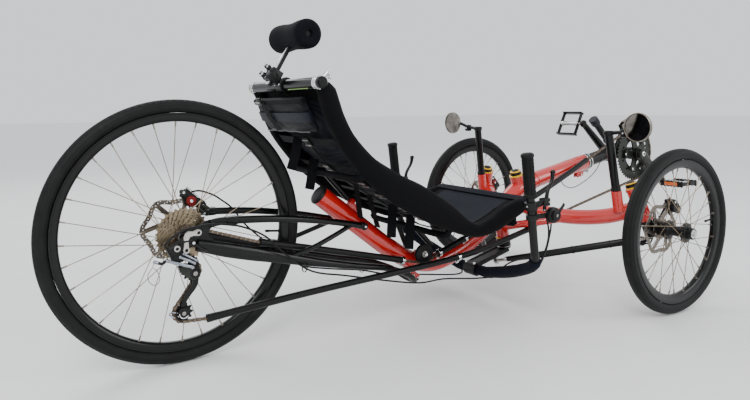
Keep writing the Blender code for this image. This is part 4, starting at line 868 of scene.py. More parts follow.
def front_end():
    shape = Shape()
    shape.rod(boom_at(SLEEVE_END - 0.03), boom_at(1.688), BOOM_RADIUS, BLACK, 44, 0.05)
    shape.tube([boom_at(1.675), boom_at(1.688), BB + Z * 0.004], 0.0195, BLACK, 32)
    shape.pin(BB, Y * 0.034, 0.0228, BLACK, 44, 0.05)
    for way in (1, -1):
        shape.collar(BB + Y * way * 0.0375, Y, 0.013, 0.0212, 0.006, SATIN, 40)
        for a in turns(8):
            rib = BB + about_y(a) * 0.0214
            shape.rod(rib + Y * way * 0.0355, rib + Y * way * 0.04, 0.0014, SATIN, 8)
    shape.make("boom_tube", "frame", "black_paint", "boom")
    collar = Shape()
    mouth = boom_at(SLEEVE_END + 0.001)
    for along, outer, width, finish in (
        (0.0035, 0.0292, 0.005, ALLOY), (0.01, 0.0275, 0.008, PLASTIC), (0.0165, 0.0292, 0.005, ALLOY),
    ):
        collar.collar(mouth + BOOM_DIRECTION * along, BOOM_DIRECTION, BOOM_CLAMP_BORE, outer, width, finish,
                      56)
    lug = boom_at(SLEEVE_END + 0.01) - BOOM_UP * 0.033
    for way in (1, -1):
        collar.block(lug + Y * way * 0.0055, (0.012, 0.0045, 0.014), ALLOY, BOOM_DIRECTION)
    collar.pin(lug, Y * 0.012, 0.0028, CHROME, 16)
    collar.make("boom_clamp", "frame", "alloy", "boom_collar")
    rise = Vector((-0.726, 0, 0.688)).normalized()
    post = Shape()
    foot = boom_at(1.648)
    post.collar(foot, BOOM_DIRECTION, BOOM_CLAMP_BORE, 0.028, 0.022, SATIN, 48, 0.0015)
    post.rod(foot + rise * 0.024, foot + rise * 0.15, 0.0115, SATIN, 32)
    post.collar(foot + rise * 0.06, rise, 0.0114, 0.014, 0.012, PLASTIC, 32)
    top = mm2(0, 176, 14.8, 176, 16.3, 174.5, 16.5, 155, 15, 149, 0, 149)
    post.lathe(top, foot, rise, DARK_GREY, 40)
    post.rod((1.716, -0.062, 0.486), (1.726, -0.062, 0.539), 0.0011, PLASTIC, 10)
    post.rod((1.741, -0.062, 0.48), (1.771, -0.062, 0.538), 0.0011, PLASTIC, 10)
    post.pin(foot - BOOM_UP * 0.0275, Y * 0.013, 0.003, CHROME, 16)
    post.make("lamp_post", "frame", "black_alloy", "accessory_post")
    gear = Shape()
    foot = boom_at(1.604)
    gear.collar(foot, BOOM_DIRECTION, BOOM_CLAMP_BORE, 0.0268, 0.014, SATIN, 44)
    arm_top = Vector((1.64, CHAINRING_Y + 0.006, 0.548))
    link = [foot + mm(2, -26, 6), foot + mm(12, -36, 45), arm_top - Z * 0.012, arm_top]
    gear.tube(smooth(link, 5), 0.0068, SATIN, 20, scales=[1.3 - 0.5 * i / 15 for i in range(16)])
    tilt = Vector((0.94, 0, 0.34)).normalized()
    for shift in (-0.0072, 0.0072):
        middle = Vector((1.65, CHAINRING_Y + shift, 0.541))
        curve = [middle + tilt * s - BOOM_UP * 6 * s * s for s in (-0.032, -0.016, 0, 0.016, 0.032)]
        ribbon(gear, smooth(curve, 3), 0.028, 0.0016, ROTOR, Y)
    gear.block(Vector((1.65, CHAINRING_Y, 0.556)), (0.05, 0.016, 0.003), ROTOR, tilt, ease=0.001)
    gear.make("front_mech", "frame", "alloy", "front_derailleur")


# Seat -------------------------------------------------------------------------

SEAT_LINE = mm2(288, 670, 308, 632, 334, 578, 376, 520, 430, 466, 500, 414, 570, 372, 640, 331, 700, 297, 750,
                272, 800, 264, 860, 280, 920, 306, 975, 326)


def seat_stations(steps):
    """(point, direction along the seat, direction towards the rider) down the seat's line."""
    line = smooth([(x, 0, z) for x, z in SEAT_LINE], steps)
    found = []
    for i, point in enumerate(line):
        along = (line[min(i + 1, len(line) - 1)] - line[max(i - 1, 0)]).normalized()
        found.append((point, along, Vector((-along.z, 0, along.x))))
    return found


def shell(shape, rows, thickness, pick):
    """A thin closed skin over rows of points, each with its outward normal; pick gives a quad's material."""
    count, across = len(rows), len(rows[0])
    verts = [p + n * thickness / 2 for row in rows for p, n in row] + [p - n * thickness / 2 for row in rows
        for p, n in row]
    under = count * across
    groups = {}
    for i in range(count - 1):
        for j in range(across - 1):
            a = i * across + j
            quad = [a, a + 1, a + across + 1, a + across]
            groups.setdefault(pick(i, j), []).extend([quad, [under + v for v in quad[::-1]]])
    rim = [j for j in range(across)] + [i * across + across - 1 for i in range(1, count)]
    rim += [(count - 1) * across + j for j in range(across - 2, -1, -1)] + [i * across
        for i in range(count - 2, 0, -1)]
    edge = [[rim[k], rim[(k + 1) % len(rim)], under + rim[(k + 1) % len(rim)], under + rim[k]]
            for k in range(len(rim))]
    groups.setdefault(pick(0, 0), []).extend(edge)
    start = len(shape.verts)
    shape.verts += verts
    for finish, faces in groups.items():
        if finish not in shape.used:
            shape.used.append(finish)
        shape.faces += [[start + v for v in face] for face in faces]
        shape.slots += [shape.used.index(finish)] * len(faces)
    return shape


SAG, SAG_STATIONS, CLOTH = 0.014, 26, 0.0022


def sag_at(y, share):
    """How far the cloth hangs below the rails' tops; share is 0 at the front tube and 1 away from it."""
    return SAG * share * (1 - (y / RAIL_Y) ** 2)


def sag_share(i, total):
    return min(1.0, (total - 1 - i) / SAG_STATIONS)


def seat_section(share):
    """(across, height, outward across, outward height) over the left rail, the pan and the right rail."""
    wrap = RAIL_RADIUS + CLOTH
    half = []
    for angle in range(-130, 91, 20):
        a = radians(angle)
        half.append((RAIL_Y + wrap * cos(a), wrap * sin(a), cos(a), sin(a)))
    steps = 16
    for k in range(1, steps):
        y = RAIL_Y * (1 - k / steps)
        half.append((y, wrap - sag_at(y, share), 0, 1))
    return half + [(0, wrap - sag_at(0, share), 0, 1)] + [(-y, n, -u, v) for y, n, u, v in half[::-1]]


def run_length(points):
    return sum((b - a).length for a, b in zip(points, points[1:]))


def crossbar_ends(shape):
    """Clear rings, plugs and the small fitting on the ends of the bar behind the shoulders."""
    for _, side in SIDES:
        rings = ((0.179, 0.0162, 0.0036, CHROME), (0.184, 0.0154, 0.007, ALLOY),
                 (0.1905, 0.0168, 0.0046, CHROME))
        for y, outer, width, finish in rings:
            shape.collar(CROSSBAR + Y * side * y, Y, 0.014, outer, width, finish, 44, 0.0012)
        shape.collar(CROSSBAR + Y * side * 0.1955, Y, 0.014, 0.017, 0.0026, GREEN if side > 0 else ALLOY, 44,
                     0.0008)
        shape.rod(CROSSBAR + Y * side * 0.2, CROSSBAR + Y * side * 0.2085, 0.011, PLASTIC, 36, 0.1)
    foot = CROSSBAR + mm(8, -192, 12)
    shape.rod(foot, foot + mm(12, -2, 12), 0.0048, CHROME, 20)
    shape.ring(foot + mm(12, -2, 12), Y, 0.0052, 0.002, CHROME, 24, 10)
    shape.bolt(foot + mm(14, -4, 1), X, CHROME, 0.005, 0.004)
    strip = [CROSSBAR + Vector((-0.0105, y, -0.0125)) for y in (-0.045, -0.08, -0.115, -0.15)]
    shape.tube(smooth(strip, 3), 0.0014, GREEN, 10)


def seat():
    frame_shape = Shape()
    line = [p for p, _, _ in seat_stations(4)]
    frame_shape.pin(CROSSBAR, Y * 0.205, 0.0145, BLACK, 36)
    for _, side in SIDES:
        frame_shape.tube([p + Y * RAIL_Y * side for p in line], RAIL_RADIUS, BLACK, 24)
    front = line[-1]
    corner = [front - X * 0.01 + Y * RAIL_Y, front + Y * (RAIL_Y - 0.004), front - Y * (RAIL_Y - 0.004)]
    frame_shape.tube([*corner, front - X * 0.01 - Y * RAIL_Y], 0.0124, BLACK, 24)
    coarse = seat_stations(2)
    under = [p - n * 0.042 for p, _, n in coarse]
    for k in (8, 16, 24):
        bow = [coarse[k][0] + Y * RAIL_Y, under[k].lerp(coarse[k][0], 0.3) + Y * 0.18, under[k] + Y * 0.16]
        bow += [under[k], *line_on_side(bow[::-1], -1)]
        frame_shape.tube(smooth(bow, 4), 0.009, PIPING, 20)
    frame_shape.rod(under[8] + Z * 0.004, (0.4752, 0, 0.361), 0.009, BLACK, 24)
    frame_shape.rod(under[16] + Y * 0.045, (0.705, 0.0365, 0.19), 0.008, BLACK, 24)
    frame_shape.rod(under[16] - Y * 0.045, (0.745, -0.0345, 0.2), 0.008, BLACK, 24)
    crossbar_ends(frame_shape)
    frame_shape.make("seat_rails", "frame", "black_paint", "seat_frame")

    stations = seat_stations(8)[2:]
    total = len(stations)
    rows = []
    for i, (point, _, normal) in enumerate(stations):
        share = sag_share(i, total)
        row = []
        for y, n, u, v in seat_section(share):
            ease = max(0.0, 1 - (y / 0.17) ** 2) * share
            ripple = 0.001 * sin(i * 0.55 + y * 21) * ease + 0.0006 * sin(i * 1.3 - y * 40) * ease
            row.append((point + Y * y + normal * (n + ripple), (Y * u + normal * v).normalized()))
        rows.append(row)
    across = [y for y, _, _, _ in seat_section(1)]

    def pick(i, j):
        return BAND_CLOTH if abs(across[j]
                                 + across[j + 1]) / 2 > PIPING_Y - 0.001 or i < total * 0.06 else MESH_CLOTH

    sling = shell(Shape(), rows, CLOTH, pick).make("seat_sling", "frame", "mesh_fabric", "seat_cover",
                                                   sharp=60)
    length = run_length([row[len(across) // 2][0] for row in rows])
    width = run_length([p for p, _ in rows[total // 2]])
    trim = Shape()
    for side in (1, -1):
        for lift in (0.0016, -0.0016):
            run = []
            for i, (point, _, normal) in enumerate(stations[:-10]):
                height = RAIL_RADIUS + CLOTH - sag_at(PIPING_Y, sag_share(i, total)) + lift
                run.append(point + Y * PIPING_Y * side + normal * height)
            trim.tube(run, 0.0012, PIPING, 8)
    trim.make("seat_piping", "frame", "webbing")
    front_band(stations)
    bolsters()


# How far each padded side stands above and below its rail, by the places of SEAT_LINE.
BOLSTER_RISE = (0.032, 0.03, 0.023, 0.019, 0.022, 0.032, 0.04, 0.041, 0.034, 0.024, 0.02, 0.024, 0.026, 0.022)
BOLSTER_FALL = (0.001, 0.018, 0.022, 0.028, 0.034, 0.04, 0.04, 0.036, 0.026, 0.018, 0.018, 0.022, 0.022,
                0.018)


def bolsters():
    """The padded sides of the seat, drawn over its rails."""
    steps = 4
    line = seat_stations(steps)
    rises = [p.x for p in smooth([(v, 0, 0) for v in BOLSTER_RISE], steps)]
    falls = [p.x for p in smooth([(v, 0, 0) for v in BOLSTER_FALL], steps)]
    first, last, around = 1, len(line) - 1, 40
    for label, side in SIDES:
        rows = []
        for i in range(first, last + 1):
            point, _, normal = line[i]
            ease = min(1.0, 0.72 + 0.14 * (i - first), 0.62 + 0.19 * (last - i))
            row = []
            for a in turns(around):
                s = sin(a)
                wide = swell(cos(a), 0.85) * 0.0205 * ease
                tall = (max(0.0165, rises[i] * ease) if s > 0 else falls[i] * ease) * s
                crease = 0.0007 * sin(i * 1.1 + 5 * a) * abs(s)
                row.append(point + Y * side * (RAIL_Y - 0.002 + wide) + normal * (tall + crease))
            rows.append(row)
        shape = Shape().loft(rows, BAND_CLOTH)
        for k in (14, 26):
            shape.tube([row[k] for row in rows[2:-2]], 0.0011, PIPING, 8)
        shape.make("seat_bolster_" + label, "frame", "mesh_fabric", sharp=60)


BAND_ROWS = 4


def front_band(stations):
    """The padded band over the front of the pan, wrapped round the front tube and the ends of the rails."""
    total = len(stations)
    over = RAIL_RADIUS + 0.0054
    columns = [(RAIL_Y + over * cos(radians(a)), over * sin(radians(a)), a) for a in range(6, 85, 13)]
    columns += [(RAIL_Y * (1 - k / 10), over, 90) for k in range(0, 10)] + [(0, over, 90)]
    columns += [(-y, n, 180 - a) for y, n, a in columns[-2::-1]]
    rows = []
    for i in range(total - BAND_ROWS, total):
        point, _, normal = stations[i]
        row = []
        for y, n, a in columns:
            fall = sag_at(y, sag_share(i, total)) if a == 90 else 0
            puff = 0.0016 * sin(pi * (i - total + BAND_ROWS) / (2 * BAND_ROWS)) * max(0,
                1 - (y / RAIL_Y) ** 2)
            out = Y * cos(radians(a)) + normal * sin(radians(a))
            row.append((point + Y * y + normal * (n - fall + puff), out))
        rows.append(row)
    point, along, normal = stations[-1]
    for k in range(1, 13):
        turn = radians(14 * k)
        up = normal * cos(turn) + along * sin(turn)
        row = []
        for y, n, a in columns:
            out = Y * cos(radians(a)) + up * sin(radians(a))
            row.append((point + Y * y + up * n, out))
        rows.append(row)
    band = shell(Shape(), rows, 0.003, lambda i, j: NAVY_CLOTH)
    band.tube([p + n * 0.0012 for p, n in rows[0]], 0.0019, PIPING, 8)
    band.tube([p + n * 0.0012 for p, n in rows[-1][5:-5]], 0.0017, PIPING, 8)
    piece = band.make("seat_front_band", "frame", "mesh_fabric", sharp=60)
    middle = len(columns) // 2
    run_length([p for p, _ in rows[2]])
    run_length([row[middle][0] for row in rows])


def pocket():
    """The flat storage pocket behind the shoulders, with its straps and reflective edge."""
    line = seat_stations(8)
    low, high, half = 0.019, 0.043, 0.14
    first, last = 4, 18
    rows = []
    for i in range(first, last):
        point, _, normal = line[i]
        s = (i - first) / (last - 1 - first)
        bulge = max(0.0, sin(pi * s)) ** 0.3
        row = []
        for a in turns(40):
            u = swell(cos(a), 0.3) * half * (0.95 + 0.05 * bulge)
            v = swell(sin(a), 0.6) * (high - low) / 2 * (0.3 + 0.7 * bulge)
            crease = 0.0011 * sin(u * 95 + i) * bulge + 0.0009 * sin(u * 40 - i * 1.7)
            row.append(point + Y * u - normal * ((low + high) / 2 + v + crease))
        rows.append(row)
    bag = Shape().loft(rows, POCKET_CLOTH).make("back_pocket", "frame", "mesh_fabric", "seat_pocket",
                                                sharp=60)
    trim = Shape()
    for k, wide, finish in ((5, 0.012, WEBBING), (12, 0.026, POCKET_BAND)):
        point, along, normal = line[k]
        ends = mm2(-141.5, 30, -139.5, 43.5, -60, 45.5, 60, 45.5, 139.5, 43.5, 141.5, 30)
        ribbon(trim, smooth([point + Y * y - normal * d for y, d in ends], 5), wide, 0.0014, finish, normal)
    diagonal = []
    for k in range(9):
        point, along, normal = line[4 + round(k * 12 / 8)]
        diagonal.append(point + Y * (0.078 - 0.03 * k / 8) - normal * (0.048 + 0.004 * sin(pi * k / 8)))
    ribbon(trim, diagonal, 0.026, 0.0014, WEBBING, line[10][2])
    point, along, normal = line[4]
    trim.block(point + Y * 0.088 - normal * 0.05, (0.022, 0.028, 0.005), PLASTIC, along, normal)
    trim.rod(point + Y * 0.075 - normal * 0.0545, point + Y * 0.101 - normal * 0.0545, 0.0022, STEEL, 12)
    point, along, normal = line[17]
    edge = [point + Y * (0.137 - 0.019 * k) - normal * (0.043 + 0.0012 * sin(k * 1.9)) - along * 0.004
            for k in range(14)]
    trim.tube(smooth(edge, 3), 0.0016, REFLECTIVE, 8)
    trim.make("pocket_trim", "frame", "webbing")


STRAP_WIDTH, TAIL_WIDTH = 0.025, 0.026


def webbing_straps():
    """Tensioning straps under the sling, and the tails that hang from them."""
    line = seat_stations(4)
    away = Vector((0.507, 0.862, 0))
    hanging = (("a", 11, 0.035, (0.345, 0.534), (0.32, 0.446), away),
               ("b", 16, 0.047, (0.399, 0.471), (0.38, 0.386), away),
               ("c", 19, -0.05, (0.47, 0.405), (0.487, 0.31), X), ("d", 22, -0.05, (0.514, 0.372),
        (0.5415, 0.278), X), ("e", 26, -0.06, (0.586, 0.34), (0.582, 0.247), away),
               ("f", 29, -0.06, (0.65, 0.306), (0.642, 0.206), away), ("g", 36, None, None, None, None),
               ("h", 43, None, None, None, None))
    for name, station, y, top, bottom, facing in hanging:
        point, along, normal = line[station]
        strap = []
        for k in range(23):
            s = -1 + 2 * k / 22
            rise = 0.01 * max(0, abs(s) - 0.93) / 0.07
            strap.append(point + Y * 0.176 * s - normal * (0.0145 + 0.004 * (1 - s * s) - rise))
        piece = Shape()
        ribbon(piece, strap, STRAP_WIDTH, 0.0016, WEBBING, normal)
        made = piece.make("seat_strap_" + name, "frame", "webbing")
        if y is not None:
            tail = []
            for k in range(13):
                s = k / 12
                sway = 0.0022 * sin(s * 5 + station)
                tail.append(Vector((top[0] + (bottom[0] - top[0]) * s + sway, y + sway,
                                    top[1] + (bottom[1] - top[1]) * s)))
            tail_shape = Shape()
            ribbon(tail_shape, tail, TAIL_WIDTH, 0.0014, WEBBING, facing)
            tail_piece = tail_shape.make("strap_tail_" + name, "frame", "webbing")
            run_length(tail)
            at = point + Y * (y - 0.045) - normal * 0.0215
            buckle = Shape().block(at, (0.03, 0.032, 0.0045), PLASTIC, along, normal)
            for way in (1, -1):
                foot = at + along * 0.008 * way - normal * 0.003
                buckle.rod(foot - Y * 0.015, foot + Y * 0.015, 0.002, STEEL, 12)
            buckle.make("strap_buckle_" + name, "frame", "plastic")
        run_length(strap)


def spine_strap():
    """The strap down the middle, under the crossing straps."""
    line = seat_stations(4)[10:44]
    rows = []
    for point, _, normal in line:
        rows.append([(point + Y * y - normal * 0.0204, -normal) for y in (0.0125, 0.004, -0.004, -0.0125)])
    made = shell(Shape(), rows, 0.0016, lambda i, j: WEBBING).make("seat_spine", "frame", "webbing",
        "seat_webbing")
    length = run_length([row[1][0] for row in rows])


# Drive ------------------------------------------------------------------------

POWER_REAR = mm3(185, -55.5, 281.5, 330, -45, 246, 480, -45.5, 210, 632, -48.5, 172.5)
POWER_FRONT = mm3(757, -51, 176, 850, -52, 206, 1000, -52, 256, 1178, -52, 319, 1310, -49, 370, 1426, -47,
                  419)
RETURN_LINE = mm3(43, -64, 117, 320, -70, 137, 600, -79, 152, 800, -76, 162, 950, -66, 177, 1140, -53, 208)
CHAIN_PITCH = 0.0127
CHAINRING_RADIUS, IDLER_RADIUS, PULLEY_RADIUS = 0.0972, 0.0262, 0.0224


def at_y(centre, y):
    return Vector((centre.x, y, centre.z))


def chain_line():
    """The closed line of the chain's pins, evenly pitched."""
    path = arc(at_y(BB, CHAINRING_Y), CHAINRING_RADIUS, -72, 113, 60)
    path += smooth(POWER_FRONT, 6)[::-1]
    path += arc(IDLER, IDLER_RADIUS, -70, -106, 6)
    path += smooth(POWER_REAR, 6)[::-1]
    path += arc(at_y(REAR_AXLE, COG_Y), 0.0246, 74, 262, 30)
    path += arc(GUIDE, PULLEY_RADIUS, 100, -50, 24)
    path += arc(TENSION, PULLEY_RADIUS, 140, 274, 20)
    path += smooth(RETURN_LINE, 6)
    path.append(mm(1357, -50, 260))
    lengths = [0.0]
    for a, b in zip(path, path[1:] + path[:1]):
        lengths.append(lengths[-1] + (b - a).length)
    count = 2 * round(lengths[-1] / CHAIN_PITCH / 2)
    pins, k = [], 0
    for i in range(count):
        goal = lengths[-1] * i / count
        while lengths[k + 1] < goal:
            k += 1
        share = (goal - lengths[k]) / (lengths[k + 1] - lengths[k])
        pins.append(path[k].lerp(path[(k + 1) % len(path)], share))
    return pins


def chain():
    pins = chain_line()
    shape = Shape()
    for i, pin in enumerate(pins):
        after = pins[(i + 1) % len(pins)]
        run = after - pin
        along = run.normalized()
        side = along.cross(Y.cross(along)).normalized()
        side = side if side.y > 0 else -side
        height = side.cross(along).normalized()
        offset = 0.0031 if i % 2 else 0.0021
        outline = []
        for a in (-75, -38, 0, 38, 75):
            outline.append((run.length / 2 + 0.0041 * cos(radians(a)), 0.0041 * sin(radians(a))))
        outline.append((0, 0.0029))
        outline += [(-u, v) for u, v in outline[4::-1]]
        outline.append((0, -0.0029))
        turn = Matrix((along, height, along.cross(height))).transposed().to_4x4()
        for way in (1, -1):
            place = Matrix.Translation((pin + after) / 2 + side * offset * way) @ turn
            shape.loft([[(u, v, w) for u, v in outline] for w in (-0.00045, 0.00045)], CHAIN, place)
        shape.disc(0.0038, -0.0016, 0.0016, pin, side, CHAIN, 10)
        shape.disc(0.0017, -0.004, 0.004, pin, side, BRONZE, 8)
    shape.make("chain_links", "frame", "steel", "chain", sharp=30)


def guard_tubes():
    for name, points, node in (
        ("tube_rear", POWER_REAR, "power_tube_rear"), ("tube_front", POWER_FRONT, "power_tube_front"),
        ("tube_return", RETURN_LINE, "return_tube"),
    ):
        line = smooth(points, 6)
        last = len(line) - 1
        rings = []
        for radius in (0.009, 0.007):
            ring = []
            for i, p in enumerate(line):
                along = (line[min(i + 1, last)] - line[max(i - 1, 0)]).normalized()
                side = along.cross(Z).normalized()
                top = side.cross(along)
                flare = 1.12 if i in (0, last) else 1.0
                ring.append([p + (side * cos(a) + top * sin(a)) * radius * flare for a in turns(24)])
            rings.append(ring)
        shape = Shape().loft(rings[0] + rings[1][::-1], PLASTIC, closed=True)
        shape.make(name, "frame", "plastic", node)
    clips = Shape()
    for point in mm3(628, -48.5, 173.5, 762, -51, 178, 862, -52, 210, 815, -75.5, 163):
        axis = Vector((0.95, 0, 0.25)) if point[0] > 0.7 else Vector((0.97, 0, -0.24))
        clips.collar(point, axis, 0.0088, 0.0112, 0.009, CHROME, 28, 0.0004)
        clips.block(Vector(point) + mm(0, 8, -12), (0.009, 0.004, 0.016), CHROME, axis)
        clips.bolt(Vector(point) + mm(0, 4, -15), -Y, CHROME, 0.0036, 0.0024)
    clips.make("tube_clips", "frame", "steel")


COGS = ((0.063, 31), (0.0566, 28), (0.0505, 25), (0.0445, 22), (0.0384, 19), (0.0334, 17), (0.0285, 14),
        (0.0245, 12))


def cassette():
    shape = Shape()
    first, last = -0.0345, COG_Y
    for i, (radius, teeth) in enumerate(COGS):
        y = first + (last - first) * i / (len(COGS) - 1)
        holes = [circle(0.0172, 32)]
        if radius > 0.036:
            holes += windows(5, radius - 0.0075, max(0.0225, radius - 0.022), 0.46, 0.36, 0.25)
        outline = gear_outline(radius, teeth, 0.0018, 0.003)
        shape.plate(outline, 0.0019, REAR_AXLE + Y * y, Y, BRONZE, holes, ease=0.0003, spin=0.13 * i)
    core = [(0.0171, -0.0335), (0.0216, -0.0335), (0.0216, last + 0.001), (0.0171, last + 0.001)]
    shape.lathe(core, REAR_AXLE, Y, SATIN, 48, closed=True)
    ring = mm2(9, -1.2, 19, -1.2, 19.5, -2.4, 18.5, -3.4, 12.5, -3.4, 9, -2)
    shape.lathe(ring, at_y(REAR_AXLE, last), Y, STEEL, 48, closed=True)
    for a in turns(18):
        rib = at_y(REAR_AXLE, last - 0.003)
        shape.rod(rib + about_y(a) * 0.0105, rib + about_y(a) * 0.0132, 0.0007, SATIN, 6)
    shape.make("cassette_stack", "cassette", "steel", "cassette")


def crank_end(side):
    return about_y(CRANK_ANGLE if side > 0 else CRANK_ANGLE - pi)


def cranks():
    shape = Shape()
    shape.pin(BB, Y * 0.078, 0.012, SATIN, 32)
    section = [(swell(cos(a), 0.5) * 0.0066, swell(sin(a), 0.6) * 0.0128) for a in turns(24)]
    for _, side in SIDES:
        arm, out = crank_end(side), Y * side
        root = BB + out * 0.0755
        end = root + arm * CRANK_LENGTH + out * 0.0015
        finish = OLIVE if side < 0 else BLACK
        shape.pin(root, out * 0.0075, 0.0185, finish, 40, 0.2)
        shape.pin(end, out * 0.0065, 0.0137, BLACK, 36, 0.2)
        line = [root.lerp(end, k / 8) for k in range(9)]
        shape.sweep(line, section, finish, arm.cross(Y), scales=[1.3 - 0.45 * k / 8 for k in range(9)])
        shape.bolt(root + out * 0.0072, out, CHROME, 0.0088, 0.003)
        shape.rod(end, BB + arm * CRANK_LENGTH + out * 0.095, 0.0046, STEEL, 20)
    spider = BB + Y * (CHAINRING_Y - 0.006)
    shape.rod(spider - Y * 0.018, spider + Y * 0.004, 0.021, BLACK, 40)
    section = mm2(-2.6, -12.5, 2.6, -12.5, 2.6, 12.5, -2.6, 12.5)
    for a in turns(5, 0.5):
        out = about_y(-a)
        line = [spider - Y * 0.0012 + out * r for r in (0.014, 0.03, 0.046, 0.064)]
        shape.sweep(line, section, OLIVE, out.cross(Y), scales=[1.3, 1.0, 1.0, 1.25])
        shape.bolt(spider - Y * 0.003 + out * 0.06, -Y, CHROME, 0.0048, 0.0018)
    shape.make("crank_arms", "crank", "black_paint", "crankset")
    ring = Shape()
    holes = [circle(0.053, 80)]
    for a in turns(5, 0.5):
        holes += [circle(0.004, 16, polar(0.07, b)) for b in (a + 0.35, a - 0.35)]
    teeth = gear_outline(CHAINRING_RADIUS, 48, 0.0018, 0.0036)
    ring.plate(teeth, 0.003, BB + Y * CHAINRING_Y, Y, OLIVE, holes, ease=0.0005)
    teeth = gear_outline(0.076, 38, 0.0015, 0.003)
    ring.plate(teeth, 0.0022, BB + Y * (CHAINRING_Y + 0.0065), Y, OLIVE, [circle(0.051, 80)], ease=0.0004)
    ring.collar(BB + Y * (CHAINRING_Y + 0.003), Y, 0.0515, 0.06, 0.006, OLIVE, 60)
    ring.make("ring_wheel", "crank", "steel", "chainring")


def pedal(label, side):
    """A cage pedal: toothed rails and end plates round a silver axle barrel."""
    low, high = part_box("pedal_" + label)
    centre = (low + high) / 2
    centre.y = side * 0.138
    tilt = radians(LEFT_PEDAL_TILT if side > 0 else 0)
    along = Vector((cos(tilt), 0, sin(tilt)))
    up = along.cross(Y)
    shape = Shape()
    barrel = [0.86, 1.0, 0.72, 0.72, 1.0, 0.86]
    reach = [-0.04, -0.03, -0.022, 0.018, 0.026, 0.036]
    shape.tube([centre + Y * side * y for y in reach], 0.0105, ALLOY, 32, scales=barrel)
    shape.lathe(mm2(0, 3, 7.5, 2.8, 8.8, 0, 0, 0), centre + Y * side * 0.035, Y * side, PLASTIC, 28)
    for way in (1, -1):
        rail = centre + along * way * 0.044
        shape.block(rail, (0.0055, 0.086, 0.0205), SATIN, along, up, ease=0.0022, segments=3)
        for k in range(7):
            for lift in (1, -1):
                foot = rail + Y * (k - 3) * 0.0128 + up * lift * 0.0095
                shape.lathe(mm2(0, 3.2, 1.4, 2.8, 2.4, 0, 0, 0), foot, up * lift, SATIN, 10)
        for end in (1, -1):
            plate_at = centre + along * way * 0.024 + Y * end * 0.0385
            shape.block(plate_at, (0.043, 0.005, 0.014), SATIN, along, up, ease=0.002)
        if side < 0:
            shape.block(rail + along * way * 0.003, (0.003, 0.054, 0.016), PLASTIC, along, up, ease=0.001)
            shape.block(rail + along * way * 0.0044, (0.0028, 0.048, 0.0125), ORANGE, along, up, ease=0.0012)
    shape.make("pedal_cage_" + label, "pedal_" + label, "alloy", "pedal_" + label)


def pulleys():
    for name, centre, pitch, teeth, bore, half, body in (
        ("idler_wheel", IDLER, IDLER_RADIUS, 13, 0.005, 0.0052, "idler"),
        ("guide_wheel", GUIDE, PULLEY_RADIUS, 11, 0.0042, 0.0034, "guide_pulley"),
        ("tension_wheel", TENSION, PULLEY_RADIUS, 11, 0.0042, 0.0034, "tension_pulley"),
    ):
        shape = Shape()
        holes = [circle(bore + 0.003, 20)]
        if body != "idler":
            holes += windows(5, pitch - 0.0085, 0.0095, 0.34, 0.26)
        shape.plate(gear_outline(pitch, teeth, 0.0016, 0.0036), 0.003, centre, Y, PLASTIC, holes, ease=0.0005)
        sleeve = [(bore, half), (bore + 0.0042, half), (bore + 0.0042, -half), (bore, -half)]
        shape.lathe(sleeve, centre, Y, STEEL, 32, closed=True)
        for way in (1, -1) if body == "idler" else ():
            disc = mm2(8, 5, 12.5, 5, 13.5, 4, 20.5, 4, 21.5, 5, 28.5, 4.6, 30, 3.8, 29, 2.8, 8, 2.8)
            shape.lathe([(r, h * way) for r, h in disc], centre, Y, PLASTIC, 56, closed=True)
            for a in turns(6):
                shape.bolt(centre + Y * way * 0.0042 + about_y(a) * 0.0165, Y * way, SATIN, 0.0026, 0.0012)
        shape.make(name, body, "plastic", body)


def flat_plate(shape, outline, thickness, y, finish, holes=(), ease=0.0006):
    """A plate square to Y from (x, height) pairs."""
    return shape.plate(outline, thickness, (0, y, 0), -Y, finish, holes, ease=ease)


